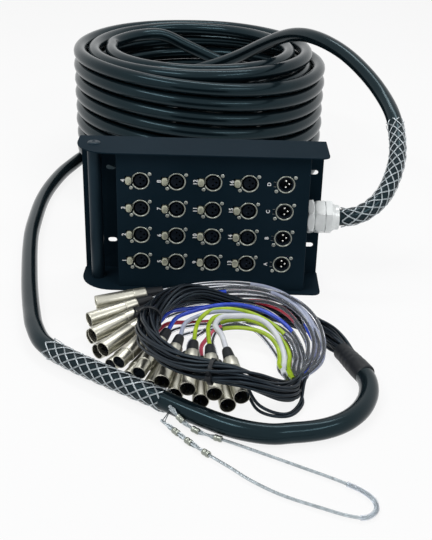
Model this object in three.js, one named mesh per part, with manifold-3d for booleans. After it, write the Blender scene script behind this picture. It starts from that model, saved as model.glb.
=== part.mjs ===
// A stage box snake: a sheet steel box with sixteen female and four male three-pin sockets,
// a long multicore cable wound behind it, and a fan of twenty short tails with their plugs in front.
// The origin is the bottom centre of the box, +X to the right seen from the sockets,
// +Y away from the person facing them, +Z up. All lengths are in millimetres.
import * as THREE from 'three';
import { mergeVertices } from 'three/addons/utils/BufferGeometryUtils.js';
import Module from 'manifold-3d';

const wasm = await Module();
wasm.setup();

// Clearances shared by all pieces
const seat = 0.3; // gap between pieces that rest on each other
const overrun = 4; // how far a cutter runs past what it cuts

// Chassis: one sheet bent into a back plate and two flanges
const boxWidth = 323.5;
const boxDepth = 70;
const boxHeight = 193;
const sheet = 1.5;
const bendRadius = 2.5;
const handleCornerRadius = 44;
const plainCornerRadius = 10;
const backCornerRadius = 4;
const slotLength = 12.5;
const slotWidth = 6.5;
const slotInsetHandle = 38.75; // from the flanges' end to the slots' middle, clear of the handle
const slotInsetPlain = 13.75;
const slotSpanZ = 106;

// Connector cover: front and two sides, closed by the flanges and the back plate
const coverHandleGap = 52.5; // from the flanges' end to the cover, room for the hand
const coverPlainGap = 22.5; // from the other end, room for the gland
const coverRecess = 10; // from the flanges' front edge to the cover's face
const coverBend = 2;
const coverBackGap = 0.9; // clears the chassis's inside bend

// Carrying handle: a tube between the flanges
const handleRadius = 9;
const handleBore = 7.5;
const handleEndPlug = 12;
const handleInsetX = 21.6; // from the flanges' end to the tube's axis
const handleShiftY = 4;
const screwRadius = 4;
const screwClearance = 0.3;
const topHeadRadius = 8.5;
const topHeadHeight = 1.6;
const bottomHeadRadius = 6.5;
const bottomHeadHeight = 1.2;
const screwReach = 9;

// Sockets
const columnCount = 5;
const rowCount = 4;
const columnMargin = 62.1; // the cover's width beside the columns
const flangeColumnGap = 8.6; // between one column's flanges and the next
const rowPitch = 37.7;
const socketRadius = 11.9;
const panelHoleRadius = 12.2;
const ringSides = 12;
const ringLip = 1.1; // width of the bright front ring
const ringProud = 0.8;
const socketDepth = 22;
const matingRadius = 9.6; // bore that takes the outer shell of a plug
const postRadius = 7.8;
const postRecess = 1;
const grooveDepth = 14;
const cupRadius = 8;
const cupDepth = 15;
const contactCircle = 4.2;
const contactHoleRadius = 1.4;
const contactHoleDepth = 8;
const pinRadius = 1.2;
const pinRecess = 1.5;
const flangeHeight = 26;
const flangeThick = 1.6;
const latchFlangeReach = 7; // the female flange is longer on the latch side

// Latch tab beside each female socket
const latchWidth = 8;
const latchHeight = 11.5;
const latchOffset = 15.7; // from the socket's axis to the tab's middle
const latchCorner = 2.5;
const latchRingGap = 0.8;
const cornerCutShare = 1 - Math.SQRT1_2; // how far in the middle of a rounded corner lies
const latchProud = 2.4;
const latchLip = 1.1;
const latchLipThick = 1.8;

// Cable gland in the right side wall
const glandShiftY = 5;
const glandHeight = 97.5;
const glandThreadRadius = 18.5;
const glandThreadGap = 0.3;
const glandHexAcross = 41;
const glandHexLength = 10;
const glandNeck = 14; // thread that the dome nut covers
const glandInside = 8; // thread inside the box
const locknutLength = 5;
const domeAcross = 40;
const domeLength = 27;
const domeGap = 0.6;
const domeChamfer = 4;
const domeCollarRadius = 16.5;
const domeCollarLength = 5.5;
const threadSides = 16;
const boreSides = 12;

// Multicore cable
const cableRadius = 11;
const cableSides = 8;
const glandBoreGap = 0.6;
const cableLie = 11.2; // height of the axis where it lies on the floor

// Coil: the outer layer and two inner turns on top, over a plain core
const coilX = -19;
const coilY = 495;
const coilPitch = 24;
const coilRows = 9;
const coilRadii = [154, 184, 208]; // axis radii of the top turns, inside to outside
const stepOutShares = [0.6, 0.9]; // part of a turn over which the cable moves out a layer
const stepDownShares = [0.08, 0.42]; // part of a turn over which it moves down a row
const coilCoreGap = 0.5;
const coilCoreWidth = 49;

// Wire mesh grips
const gripWall = 1.2;
const gripGap = 0.1; // between the cable's corners and the grip's flats
const boxGripGap = 3;
const boxGripLength = 205;
const fanGripStart = 706; // along the fan stretch from the coil
const fanGripLength = 172;

// Pulling eye
const wireRadius = 1.7;
const ferruleRadius = 3.4;
const ferruleLength = 8;
const eyeSleeveRadius = 2.8;

// Fan-out boot and the ring that the tails make
const bootTipRadius = 8.5;
const bootLength = 45;
const bootLead = 20; // straight jacket before the boot
const ringX = 46;
const ringY = -214;
const ringHalfX = 100;
const ringHalfY = 102;
const strandRadius = 4.7;
const strandPitch = 10.2;
const strandLayerPitch = 11.8;
const ringLayerTurns = 2;
const ringStartDegrees = 12;
const ringLeadIn = 16; // how far outside the ring the strands come in
const ringLie = 5;
const ringLift = 38.5; // height of the ring where it lies on the plugs
const ringRiseDegrees = [72, 130];
const ringFallDegrees = [262, 318];
const tieWall = 1.3;
const tieWidth = 4.5;
const tieGap = 0.3;
const tieHead = 6;
const tieLeftDegrees = 172;
const tieFrontDegrees = 256;

// Tails and their plugs
const loomRadius = 5.4;
const loomSpacing = 11.4;
const loomRingGap = 0.35; // between the looms that lie on the ring and its strands
const loomsOnRing = 2; // the others lie inside it
const loomRise = 12;
const loomStartDegrees = -14;
const loomLeaveDegrees = [14, 8, 110, 110, 110]; // where each starts to leave the ring's curve
const tailRadius = 2.3;
const tailRootPitch = 2.2;
const tailRootRise = 2.4;
const tailSplit = 14; // least free length of a tail between its loom and its plug
const plugRadius = 9.4;
const plugShell = 65;
const plugBoot = 22;
const bootRadius = 7;
const plugMouthRadius = 8;
const plugMouthDepth = 3;
const noseRadius = 8.1;
const noseLength = 17;
const fanX = 5; // where the plugs' axes meet
const fanY = -72;
const fanNear = 52; // distance to the back of the first plug's shell
const fanFar = 184; // and of the last one's
const fanGrowthShare = 0.6;
const fanStartDegrees = 186;
const plugPitch = 10.35; // sideways step from one plug to the next
const plugLie = 9.7;
const plugNest = 17.2; // how much higher the upper plugs lie at their backs
const plugNestFront = 12; // and at their fronts

const finish = {
  coat: { color: 0x1a2026, roughness: 0.5, metalness: 0.3 },
  nickel: { color: 0xb9b39c, roughness: 0.3, metalness: 0.9 },
  insert: { color: 0x15181c, roughness: 0.6, metalness: 0.1 },
  gland: { color: 0xd3d4d2, roughness: 0.3, metalness: 0.7 },
  jacket: { color: 0x14191d, roughness: 0.4, metalness: 0 },
  steel: { color: 0xc7ccd0, roughness: 0.3, metalness: 0.9 },
  tail: { color: 0x22262c, roughness: 0.45, metalness: 0 },
};

const group = new THREE.Group();

function addPiece(name, geometry, look) {
  const mesh = new THREE.Mesh(geometry, new THREE.MeshStandardMaterial(look));
  mesh.name = name;
  group.add(mesh);
  return mesh;
}

// Solids for joining and cutting
function solidOf(geometry) {
  const bare = geometry.clone();
  bare.deleteAttribute('normal');
  bare.deleteAttribute('uv');
  const welded = mergeVertices(bare, 1e-4);
  const vertProperties = new Float32Array(welded.attributes.position.array);
  const triVerts = new Uint32Array(welded.index.array);
  return new wasm.Manifold(new wasm.Mesh({ numProp: 3, vertProperties, triVerts }));
}

function geometryOf(solid) {
  const mesh = solid.getMesh();
  const geometry = new THREE.BufferGeometry();
  geometry.setAttribute('position', new THREE.BufferAttribute(new Float32Array(mesh.vertProperties), 3));
  geometry.setIndex(new THREE.BufferAttribute(new Uint32Array(mesh.triVerts), 1));
  geometry.computeVertexNormals();
  return geometry;
}

function joined(...geometries) {
  const solids = geometries.map(solidOf);
  return geometryOf(solids.reduce((whole, solid) => whole.add(solid)));
}

function cut(geometry, ...cutters) {
  const solids = cutters.map(solidOf);
  return geometryOf(solids.reduce((whole, solid) => whole.subtract(solid), solidOf(geometry)));
}

function common(first, second) {
  return geometryOf(solidOf(first).intersect(solidOf(second)));
}

function block(lowX, lowY, lowZ, highX, highY, highZ) {
  const geometry = new THREE.BoxGeometry(highX - lowX, highY - lowY, highZ - lowZ);
  return geometry.translate((lowX + highX) / 2, (lowY + highY) / 2, (lowZ + highZ) / 2);
}

// A rectangle whose corners have their own radii, in the order low-low, high-low, high-high,
// low-high. A radius of zero leaves the corner sharp.
function roundedShape(lowX, lowY, highX, highY, radii, steps) {
  const corners = [[lowX, lowY, 1, 1], [highX, lowY, -1, 1], [highX, highY, -1, -1], [lowX, highY, 1, -1]];
  const points = [];
  corners.forEach(([x, y, inX, inY], index) => {
    const radius = radii[index];
    const last = radius > 0 ? steps[index] : 0;
    for (let step = 0; step <= last; step += 1) {
      const angle = Math.PI * (1 + index / 2 + (last > 0 ? step / last / 2 : 0));
      points.push(new THREE.Vector2(
        x + inX * radius + radius * Math.cos(angle), y + inY * radius + radius * Math.sin(angle),
      ));
    }
  });
  return new THREE.Shape(points);
}

function prism(shape, depth) {
  return new THREE.ExtrudeGeometry(shape, { depth, bevelEnabled: false });
}

// Turned pieces: profile points are [radius, distance along the axis], the axis is local Y
function turned(profile, segments) {
  return new THREE.LatheGeometry(profile.map(([r, y]) => new THREE.Vector2(r, y)), segments);
}

function rod(radius, low, high, segments) {
  const geometry = new THREE.CylinderGeometry(radius, radius, high - low, segments);
  return geometry.translate(0, (low + high) / 2, 0);
}

const backY = boxDepth / 2;
const frontY = -backY;
const coverFaceY = frontY + coverRecess;
const coverBackY = backY - sheet - coverBackGap;
const coverLeft = -boxWidth / 2 + coverHandleGap;
const coverRight = boxWidth / 2 - coverPlainGap;
const coverLow = sheet + seat;
const coverHigh = boxHeight - sheet - seat;
const handleX = -boxWidth / 2 + handleInsetX;
const socketMiddleX = (coverLeft + coverRight) / 2;
const socketMiddleZ = boxHeight / 2;
const columnPitch = (coverRight - coverLeft - columnMargin) / (columnCount - 1);
const flangeHalfWidth = (columnPitch - flangeColumnGap - latchFlangeReach) / 2;

function chassis() {
  const bends = Array(4).fill(3);
  const outer = roundedShape(frontY, 0, backY, boxHeight, [0, bendRadius, bendRadius, 0], bends);
  const bendInside = bendRadius - sheet;
  const inner = roundedShape(
    frontY - overrun, sheet, backY - sheet, boxHeight - sheet, [0, bendInside, bendInside, 0], bends,
  );
  const turn = new THREE.Matrix4().makeBasis(
    new THREE.Vector3(0, 1, 0), new THREE.Vector3(0, 0, 1), new THREE.Vector3(1, 0, 0),
  );
  const bar = prism(outer, boxWidth).applyMatrix4(turn).translate(-boxWidth / 2, 0, 0);
  const hollow = prism(inner, boxWidth + 2 * overrun).applyMatrix4(turn);
  hollow.translate(-boxWidth / 2 - overrun, 0, 0);
  const plan = roundedShape(
    -boxWidth / 2, frontY, boxWidth / 2, backY,
    [handleCornerRadius, plainCornerRadius, backCornerRadius, backCornerRadius], [10, 4, 2, 2],
  );
  const outline = prism(plan, boxHeight + 2 * overrun).translate(0, 0, -overrun);
  const cutters = [];
  for (const slotX of [-boxWidth / 2 + slotInsetHandle, boxWidth / 2 - slotInsetPlain]) {
    for (const sideZ of [-1, 1]) {
      const slot = roundedShape(
        -slotLength / 2, -slotWidth / 2, slotLength / 2, slotWidth / 2,
        Array(4).fill(slotWidth / 2), Array(4).fill(2),
      );
      const tool = prism(slot, sheet + 2 * overrun).rotateX(Math.PI / 2);
      cutters.push(tool.translate(slotX, backY + overrun, boxHeight / 2 + sideZ * slotSpanZ / 2));
    }
  }
  const topHole = rod(screwRadius + screwClearance, -overrun, sheet + overrun, 12).rotateX(Math.PI / 2);
  cutters.push(topHole.translate(handleX, handleShiftY, boxHeight - sheet));
  const lowHole = rod(bottomHeadRadius + screwClearance, -overrun, sheet + overrun, 12).rotateX(Math.PI / 2);
  cutters.push(lowHole.translate(handleX, handleShiftY, 0));
  return cut(common(cut(bar, hollow), outline), ...cutters);
}

// Where each socket's axis meets the cover's face
function socketPlace(column, row) {
  return new THREE.Vector3(
    socketMiddleX + (column - (columnCount - 1) / 2) * columnPitch, coverFaceY,
    socketMiddleZ + ((rowCount - 1) / 2 - row) * rowPitch,
  );
}

// The tab between two depths; its right side is hollowed to keep clear of the socket's ring
function tabPrism(low, high) {
  const ringClear = socketRadius + latchRingGap;
  const halfHeight = latchHeight / 2;
  const left = -latchOffset - latchWidth / 2;
  const right = -latchOffset + latchWidth / 2;
  const hollow = Math.sqrt(ringClear ** 2 - right ** 2);
  const corner = latchCorner;
  const points = [
    [right, -halfHeight], [right, -hollow], [-ringClear, 0], [right, hollow], [right, halfHeight],
    [left + corner, halfHeight], [left + corner * cornerCutShare, halfHeight - corner * cornerCutShare],
    [left, halfHeight - corner], [left, -halfHeight + corner],
    [left + corner * cornerCutShare, -halfHeight + corner * cornerCutShare], [left + corner, -halfHeight],
  ];
  const shape = new THREE.Shape(points.map(([x, z]) => new THREE.Vector2(x, z)));
  return prism(shape, high - low).rotateX(Math.PI / 2).translate(0, high, 0);
}

// The rectangular window that a tab slides in
function latchWindow(low, high) {
  const halfHeight = latchHeight / 2 + seat;
  const left = -latchOffset - latchWidth / 2 - seat;
  return block(left, low, -halfHeight, -latchOffset + latchWidth / 2 + seat, high, halfHeight);
}

function cover() {
  const plan = new THREE.Shape();
  const wall = sheet;
  const bend = coverBend;
  plan.moveTo(coverLeft, coverBackY);
  plan.lineTo(coverLeft, coverFaceY + bend);
  plan.absarc(coverLeft + bend, coverFaceY + bend, bend, Math.PI, Math.PI * 1.5);
  plan.lineTo(coverRight - bend, coverFaceY);
  plan.absarc(coverRight - bend, coverFaceY + bend, bend, -Math.PI / 2, 0);
  plan.lineTo(coverRight, coverBackY);
  plan.lineTo(coverRight - wall, coverBackY);
  plan.lineTo(coverRight - wall, coverFaceY + wall);
  plan.lineTo(coverLeft + wall, coverFaceY + wall);
  plan.lineTo(coverLeft + wall, coverBackY);
  const shell = prism(new THREE.Shape(plan.getPoints(2)), coverHigh - coverLow).translate(0, 0, coverLow);
  const cutters = [];
  for (let column = 0; column < columnCount; column += 1) {
    for (let row = 0; row < rowCount; row += 1) {
      const { x, y, z } = socketPlace(column, row);
      cutters.push(rod(panelHoleRadius, -overrun, sheet + overrun, ringSides).translate(x, y, z));
      const female = column < columnCount - 1;
      if (female) cutters.push(latchWindow(-overrun, sheet + overrun).translate(x, y, z));
    }
  }
  const glandHole = rod(glandThreadRadius + glandThreadGap, -sheet - overrun, overrun, threadSides);
  glandHole.rotateZ(-Math.PI / 2);
  cutters.push(glandHole.translate(coverRight, glandShiftY, glandHeight));
  return cut(shell, ...cutters);
}

// Three contacts on a circle: two opposite each other and one between them
const contactDegreesShares = [0.25, 0, -0.25];

function contacts(radius, low, high, segments) {
  return contactDegreesShares.map((share) => {
    const angle = share * 2 * Math.PI;
    return rod(radius, low, high, segments).translate(
      contactCircle * Math.cos(angle), 0, contactCircle * Math.sin(angle),
    );
  });
}

function socketFlange(reach) {
  const low = sheet + seat;
  const high = low + flangeThick;
  const plate = block(
    -flangeHalfWidth - reach, low, -flangeHeight / 2, flangeHalfWidth, high, flangeHeight / 2,
  );
  return cut(plate, rod((matingRadius + socketRadius) / 2, low - overrun, high + overrun, ringSides));
}

function femaleSocket() {
  const body = turned([
    [0, postRecess], [postRadius, postRecess], [postRadius, grooveDepth], [matingRadius, grooveDepth],
    [matingRadius, ringLip - ringProud], [socketRadius - ringLip, -ringProud], [socketRadius, -ringProud],
    [socketRadius, socketDepth], [0, socketDepth],
  ], ringSides);
  const flange = cut(socketFlange(latchFlangeReach), latchWindow(0, sheet + flangeThick + overrun));
  const holes = contacts(contactHoleRadius, postRecess - overrun, postRecess + contactHoleDepth, 5);
  return cut(joined(body, flange), ...holes);
}

function maleSocket() {
  const body = turned([
    [0, cupDepth], [cupRadius, cupDepth], [cupRadius, ringLip - ringProud],
    [socketRadius - ringLip, -ringProud], [socketRadius, -ringProud],
    [socketRadius, socketDepth], [0, socketDepth],
  ], ringSides);
  return joined(body, socketFlange(0), ...contacts(pinRadius, pinRecess, cupDepth + overrun / 2, 6));
}

function latch() {
  const behindFlange = sheet + seat + flangeThick + seat;
  const tab = tabPrism(-latchProud, behindFlange + latchLipThick / 2);
  const lipHalf = latchHeight / 2 + latchLip;
  const lip = block(
    -latchOffset - latchWidth / 2 - latchLip, behindFlange, -lipHalf,
    -socketRadius - latchRingGap, behindFlange + latchLipThick, lipHalf,
  );
  return joined(tab, lip);
}

function handleTube() {
  const length = boxHeight - 2 * sheet - 2 * seat;
  const bore = screwRadius + screwClearance;
  return turned([
    [bore, 0], [handleRadius, 0], [handleRadius, length], [bore, length], [bore, length - handleEndPlug],
    [handleBore, length - handleEndPlug], [handleBore, handleEndPlug], [bore, handleEndPlug], [bore, 0],
  ], 16);
}

function topScrew() {
  return turned([
    [0, -sheet - seat - screwReach], [screwRadius, -sheet - seat - screwReach], [screwRadius, seat],
    [topHeadRadius, seat], [topHeadRadius, seat + topHeadHeight / 2],
    [topHeadRadius - topHeadHeight / 2, seat + topHeadHeight], [0, seat + topHeadHeight],
  ], 12);
}

function bottomScrew() {
  return turned([
    [0, 0], [bottomHeadRadius, 0], [bottomHeadRadius, bottomHeadHeight], [screwRadius, bottomHeadHeight],
    [screwRadius, sheet + screwReach], [0, sheet + screwReach],
  ], 12);
}

// Gland pieces are built on local Y, with 0 at the wall's outer face
const glandBore = cableRadius + glandBoreGap;
const hexRadiusShare = 1 / Math.sqrt(3); // corner radius of a hexagon over its width across the flats

function glandBody() {
  const hex = rod(glandHexAcross * hexRadiusShare, seat, glandHexLength, 6);
  const thread = rod(glandThreadRadius, -sheet - glandInside, glandHexLength + glandNeck, threadSides);
  const bore = rod(glandBore, -sheet - glandInside - overrun, glandHexLength + glandNeck + overrun, boreSides);
  return cut(joined(hex, thread), bore);
}

function glandLocknut() {
  const high = -sheet - seat;
  const hex = rod(glandHexAcross * hexRadiusShare, high - locknutLength, high, 6);
  const bore = rod(glandThreadRadius + glandThreadGap, high - locknutLength - overrun, high + overrun, threadSides);
  return cut(hex, bore);
}

const domeStart = glandHexLength + domeGap;
const glandReach = domeStart + domeLength + domeCollarLength;

function glandDomeNut() {
  const corner = domeAcross * hexRadiusShare;
  const high = domeStart + domeLength;
  const hex = rod(corner, domeStart, high, 6);
  const limit = turned([
    [0, domeStart - overrun], [corner - domeChamfer / 2, domeStart - overrun],
    [corner + overrun, domeStart + domeChamfer], [corner + overrun, high - domeChamfer],
    [domeCollarRadius + domeChamfer / 2, high], [domeCollarRadius, high + overrun], [0, high + overrun],
  ], 12);
  const collar = rod(domeCollarRadius, high - overrun, high + domeCollarLength, threadSides);
  const threadEnd = glandHexLength + glandNeck + seat;
  const threadBore = rod(glandThreadRadius + glandThreadGap, domeStart - overrun, threadEnd, threadSides);
  const bore = rod(glandBore, domeStart, glandReach + overrun, boreSides);
  return cut(joined(common(hex, limit), collar), threadBore, bore);
}

// Routes of the free stretches, chosen by hand
const boxRoute = [
  [142.8, 5, 97.5], [163, 5, 97.5], [184, 5, 97.5], [199, 5.8, 98.4], [215, 10.5, 102.5], [231, 20.5, 110],
  [247, 38, 122], [259, 61, 138], [267, 86, 154], [270, 112, 169], [270, 136, 182], [267, 160, 195], [260, 190, 207], [247, 222, 222],
  [229, 256, 237], [209, 290, 249], [187, 320, 257], [166, 350, 260], [145, 383, 257], [121, 420, 245],
  [87, 464, 220], [51, 500, 193], [7, 531, 168], [-39, 552, 150], [-84, 555, 140], [-123, 538, 133],
  [-143, 500, 127], [-142, 453, 121], [-117, 410, 116], [-76, 380, 111], [-20, 372, 106], [40, 388, 101],
  [82, 428, 98], [99, 480, 101], [86, 536, 115], [48, 580, 140], [0, 597, 165], [-48, 600, 185],
  [-92, 597, 204], [-134, 578, 206],
];
const fanRoute = [
  [-231, 452, 11.2], [-240, 420, 11.2], [-249, 385, 11.2], [-256, 342, 11.2], [-261, 290, 11.2],
  [-262, 240, 11.2], [-259, 180, 11.2], [-254, 120, 11.2], [-245, 60, 11.2], [-234, 0, 11.2],
  [-222, -60, 11.2], [-208, -120, 11.6], [-196, -163, 13.4], [-178, -202, 14], [-146, -233, 14],
  [-108, -261, 14], [-70, -287, 14], [-34, -311, 14], [6, -338, 13.6], [48, -359, 12.2],
  [85, -367, 11.4], [120, -359, 11.2], [150, -336, 11.2], [172, -304, 11.2],
];
const eyeRoute = [
  [-22, -334.5, 21], [-14, -341.2, 15], [-4, -348.4, 8.8], [8, -356, 5.5], [42, -371, 3.7], [76, -389, 3.7],
  [111, -408, 3.7], [149, -429, 3.7], [169, -443, 3.7], [178, -456, 3.7], [178, -470, 3.7], [168, -480, 3.7],
  [154, -479, 3.7], [126, -468, 3.7], [90, -451, 3.7], [62, -431, 3.7], [43, -413, 3.7], [21, -393, 3.7],
  [0, -372, 3.7], [-17, -353, 4.4], [-30, -339, 5.5],
];
const eyeFerruleShares = [0.035, 0.075, 0.915, 0.955];
const eyeSleeveFromShare = 0.4;
const eyeSleeveToShare = 0.53;

function pointsOf(route) {
  return route.map(([x, y, z]) => new THREE.Vector3(x, y, z));
}

function roundSection(radius, sides) {
  const shape = new THREE.Shape();
  for (let side = 0; side < sides; side += 1) {
    const angle = 2 * Math.PI * (side + 0.5) / sides;
    const x = radius * Math.cos(angle);
    const y = radius * Math.sin(angle);
    if (side === 0) shape.moveTo(x, y);
    else shape.lineTo(x, y);
  }
  return shape;
}

function tube(route, steps, radius, sides) {
  return new THREE.ExtrudeGeometry(roundSection(radius, sides), { steps, bevelEnabled: false, extrudePath: route });
}

// A stretch of a tube's own facets, so that a sleeve round it keeps an even gap
class Stretch extends THREE.Curve {
  constructor(route, steps, from, to) {
    super();
    this.route = route;
    this.stops = [from];
    for (let step = 0; step <= steps; step += 1) {
      const stop = step / steps;
      if (stop > from + 0.2 / steps && stop < to - 0.2 / steps) this.stops.push(stop);
    }
    this.stops.push(to);
    this.steps = steps;
  }

  onFacet(share) {
    const low = Math.min(Math.floor(share * this.steps), this.steps - 1);
    const start = this.route.getPointAt(low / this.steps);
    const end = this.route.getPointAt((low + 1) / this.steps);
    return start.lerp(end, share * this.steps - low);
  }

  shareAt(t) {
    const place = t * (this.stops.length - 1);
    const low = Math.min(Math.floor(place), this.stops.length - 2);
    return THREE.MathUtils.lerp(this.stops[low], this.stops[low + 1], place - low);
  }

  getPoint(t) {
    return this.onFacet(this.shareAt(t));
  }

  getPointAt(t) {
    return this.getPoint(t);
  }

  getTangentAt(t) {
    return this.route.getTangentAt(this.shareAt(t));
  }
}

function sleeve(route, steps, from, to, bore, wall, sides) {
  const stretch = new Stretch(route, steps, from, to);
  const shape = roundSection(bore + wall, sides);
  shape.holes.push(roundSection(bore, sides));
  return new THREE.ExtrudeGeometry(shape, {
    steps: stretch.stops.length - 1, bevelEnabled: false, extrudePath: stretch,
  });
}

// A wound tube: rings of points square to the path, kept upright
function windTube(path, radius, sides) {
  const positions = [];
  const indices = [];
  const up = new THREE.Vector3(0, 0, 1);
  path.forEach((point, index) => {
    const before = path[Math.max(index - 1, 0)];
    const after = path[Math.min(index + 1, path.length - 1)];
    const along = after.clone().sub(before).normalize();
    const across = new THREE.Vector3().crossVectors(along, up).normalize();
    const rise = new THREE.Vector3().crossVectors(across, along);
    for (let side = 0; side < sides; side += 1) {
      const angle = 2 * Math.PI * side / sides;
      const corner = point.clone().addScaledVector(across, radius * Math.cos(angle));
      corner.addScaledVector(rise, radius * Math.sin(angle));
      positions.push(corner.x, corner.y, corner.z);
    }
  });
  for (let ring = 0; ring < path.length - 1; ring += 1) {
    for (let side = 0; side < sides; side += 1) {
      const next = (side + 1) % sides;
      const a = ring * sides + side;
      const b = ring * sides + next;
      indices.push(a, b + sides, b, a, a + sides, b + sides);
    }
  }
  const last = (path.length - 1) * sides;
  for (let side = 1; side < sides - 1; side += 1) {
    indices.push(0, side, side + 1, last, last + side + 1, last + side);
  }
  const geometry = new THREE.BufferGeometry();
  geometry.setAttribute('position', new THREE.Float32BufferAttribute(positions, 3));
  geometry.setIndex(indices);
  geometry.computeVertexNormals();
  return geometry;
}

// The least distance between stretches of a wound path that are not neighbours along it
function leastGap(path, radius, skip) {
  let least = Infinity;
  const line = new THREE.Line3();
  const near = new THREE.Vector3();
  for (let i = 0; i < path.length; i += 1) {
    for (let j = i + skip; j < path.length - 1; j += 1) {
      line.set(path[j], path[j + 1]);
      line.closestPointToPoint(path[i], true, near);
      least = Math.min(least, near.distanceTo(path[i]));
    }
  }
  return least - 2 * radius;
}

const loopSteps = 24;
const coilTop = cableLie + (coilRows - 1) * coilPitch;

// The wound part starts and ends at the coil's left. It steps out and down at different
// places in a turn, so that neighbouring turns never close on each other.
function coilPath() {
  const path = [];
  const outTurns = coilRadii.length - 1;
  const total = (outTurns + coilRows - 1) * loopSteps;
  for (let step = 0; step <= total; step += 1) {
    const turns = step / loopSteps;
    const whole = Math.floor(turns);
    const share = turns - whole;
    const angle = Math.PI + 2 * Math.PI * turns;
    const layer = Math.min(whole, outTurns);
    const next = Math.min(layer + 1, outTurns);
    const out = THREE.MathUtils.smoothstep(share, ...stepOutShares);
    const radius = THREE.MathUtils.lerp(coilRadii[layer], coilRadii[next], out);
    const rows = Math.max(whole - outTurns, 0);
    const down = whole < outTurns ? 0 : THREE.MathUtils.smoothstep(share, ...stepDownShares);
    const height = coilTop - coilPitch * (rows + down);
    path.push(new THREE.Vector3(coilX + radius * Math.cos(angle), coilY + radius * Math.sin(angle), height));
  }
  const straight = 2 * cableRadius;
  path.unshift(path[0].clone().add(new THREE.Vector3(0, straight, 0)));
  path.push(path[path.length - 1].clone().add(new THREE.Vector3(0, -straight, 0)));
  return path;
}

function coilCore() {
  const outer = coilRadii[coilRadii.length - 1] - cableRadius - coilCoreGap;
  const inner = outer - coilCoreWidth;
  const low = cableLie - cableRadius;
  const high = coilTop - cableRadius - coilCoreGap;
  const round = cableRadius / 2;
  const ring = turned([
    [inner, low + round], [inner + round, low], [outer - round, low], [outer, low + round],
    [outer, high - round], [outer - round, high], [inner + round, high], [inner, high - round],
    [inner, low + round],
  ], loopSteps);
  return ring.rotateX(Math.PI / 2).translate(coilX, coilY, 0);
}

// The ring of tails: height of its lowest layer at an angle, lifted where it lies on the plugs
function ringBase(angle) {
  const turn = 2 * Math.PI;
  const degrees = 360 * (((angle / turn) % 1) + 1) % 360;
  const rise = THREE.MathUtils.smoothstep(degrees, ...ringRiseDegrees);
  const fall = 1 - THREE.MathUtils.smoothstep(degrees, ...ringFallDegrees);
  return ringLie + ringLift * Math.min(rise, fall);
}

function ringPoint(angle, offset, above) {
  return new THREE.Vector3(
    ringX + (ringHalfX + offset) * Math.cos(angle),
    ringY + (ringHalfY + offset) * Math.sin(angle),
    ringBase(angle) + above,
  );
}

function ringPath() {
  const path = [];
  const start = THREE.MathUtils.degToRad(ringStartDegrees);
  const total = 2 * ringLayerTurns * loopSteps;
  for (let step = 0; step <= total; step += 1) {
    const turns = step / loopSteps;
    const fromReversal = Math.abs(turns - ringLayerTurns);
    const leadIn = ringLeadIn * (1 - THREE.MathUtils.smoothstep(turns, 0, 0.3));
    const offset = strandPitch * (fromReversal - ringLayerTurns / 2) + leadIn;
    const climb = THREE.MathUtils.smoothstep(turns, ringLayerTurns - 0.25, ringLayerTurns + 0.25);
    path.push(ringPoint(start + 2 * Math.PI * turns, offset, strandLayerPitch * climb));
  }
  const straight = 2 * strandRadius;
  const lead = path[0].clone().sub(path[1]).setZ(0).setLength(straight);
  path.unshift(path[0].clone().add(lead));
  const tail = path[path.length - 1].clone().sub(path[path.length - 2]).setZ(0).setLength(straight);
  path.push(path[path.length - 1].clone().add(tail));
  return path;
}

// A closed band round the ring's strands, with its head on the outside
function cableTie(degrees) {
  const angle = THREE.MathUtils.degToRad(degrees);
  const along = ringPoint(angle + 0.05, 0, 0).sub(ringPoint(angle - 0.05, 0, 0)).normalize();
  const across = new THREE.Vector3().crossVectors(along, new THREE.Vector3(0, 0, 1)).normalize();
  const rise = new THREE.Vector3().crossVectors(across, along);
  const halfWide = (ringLayerTurns + 1) * strandPitch / 2 + strandRadius - strandPitch / 2 + tieGap;
  const low = -strandRadius - tieGap;
  const high = strandLayerPitch + strandRadius + tieGap;
  const corner = strandRadius;
  const band = roundedShape(
    -halfWide - tieWall, low - tieWall, halfWide + tieWall, high + tieWall,
    Array(4).fill(corner + tieWall), Array(4).fill(2),
  );
  band.holes.push(roundedShape(-halfWide, low, halfWide, high, Array(4).fill(corner), Array(4).fill(2)));
  const ring = prism(band, tieWidth).translate(0, 0, -tieWidth / 2);
  const head = block(
    halfWide + tieWall / 2, -tieHead / 2, -tieHead / 2, halfWide + tieWall + tieHead / 2, tieHead / 2, tieHead / 2,
  ).translate(0, (low + high) / 2, 0);
  const place = new THREE.Matrix4().makeBasis(across, rise, along.negate());
  place.setPosition(ringPoint(angle, 0, 0));
  return joined(ring, head).applyMatrix4(place);
}

// A plug on local Y, from the tip of its boot to its open end
function plug(female) {
  const shellStart = plugBoot + plugRadius - bootRadius;
  const end = plugBoot + plugShell;
  const profile = [[0, 0], [tailRadius + 1, 0], [bootRadius, plugBoot], [plugRadius, shellStart]];
  if (female) {
    profile.push([plugRadius, end - noseLength], [noseRadius, end - noseLength], [noseRadius, end]);
    profile.push([noseRadius - 1, end], [noseRadius - 1, end - 1], [0, end - 1]);
  } else {
    profile.push([plugRadius, end], [plugMouthRadius, end]);
    profile.push([plugMouthRadius, end - plugMouthDepth], [0, end - plugMouthDepth]);
  }
  return turned(profile, 8);
}

// Where each plug lies: the fan's direction, how far its shell's back is, and its axis at both ends
const tailCount = 20;
const tailsPerLoom = 4;

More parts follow.
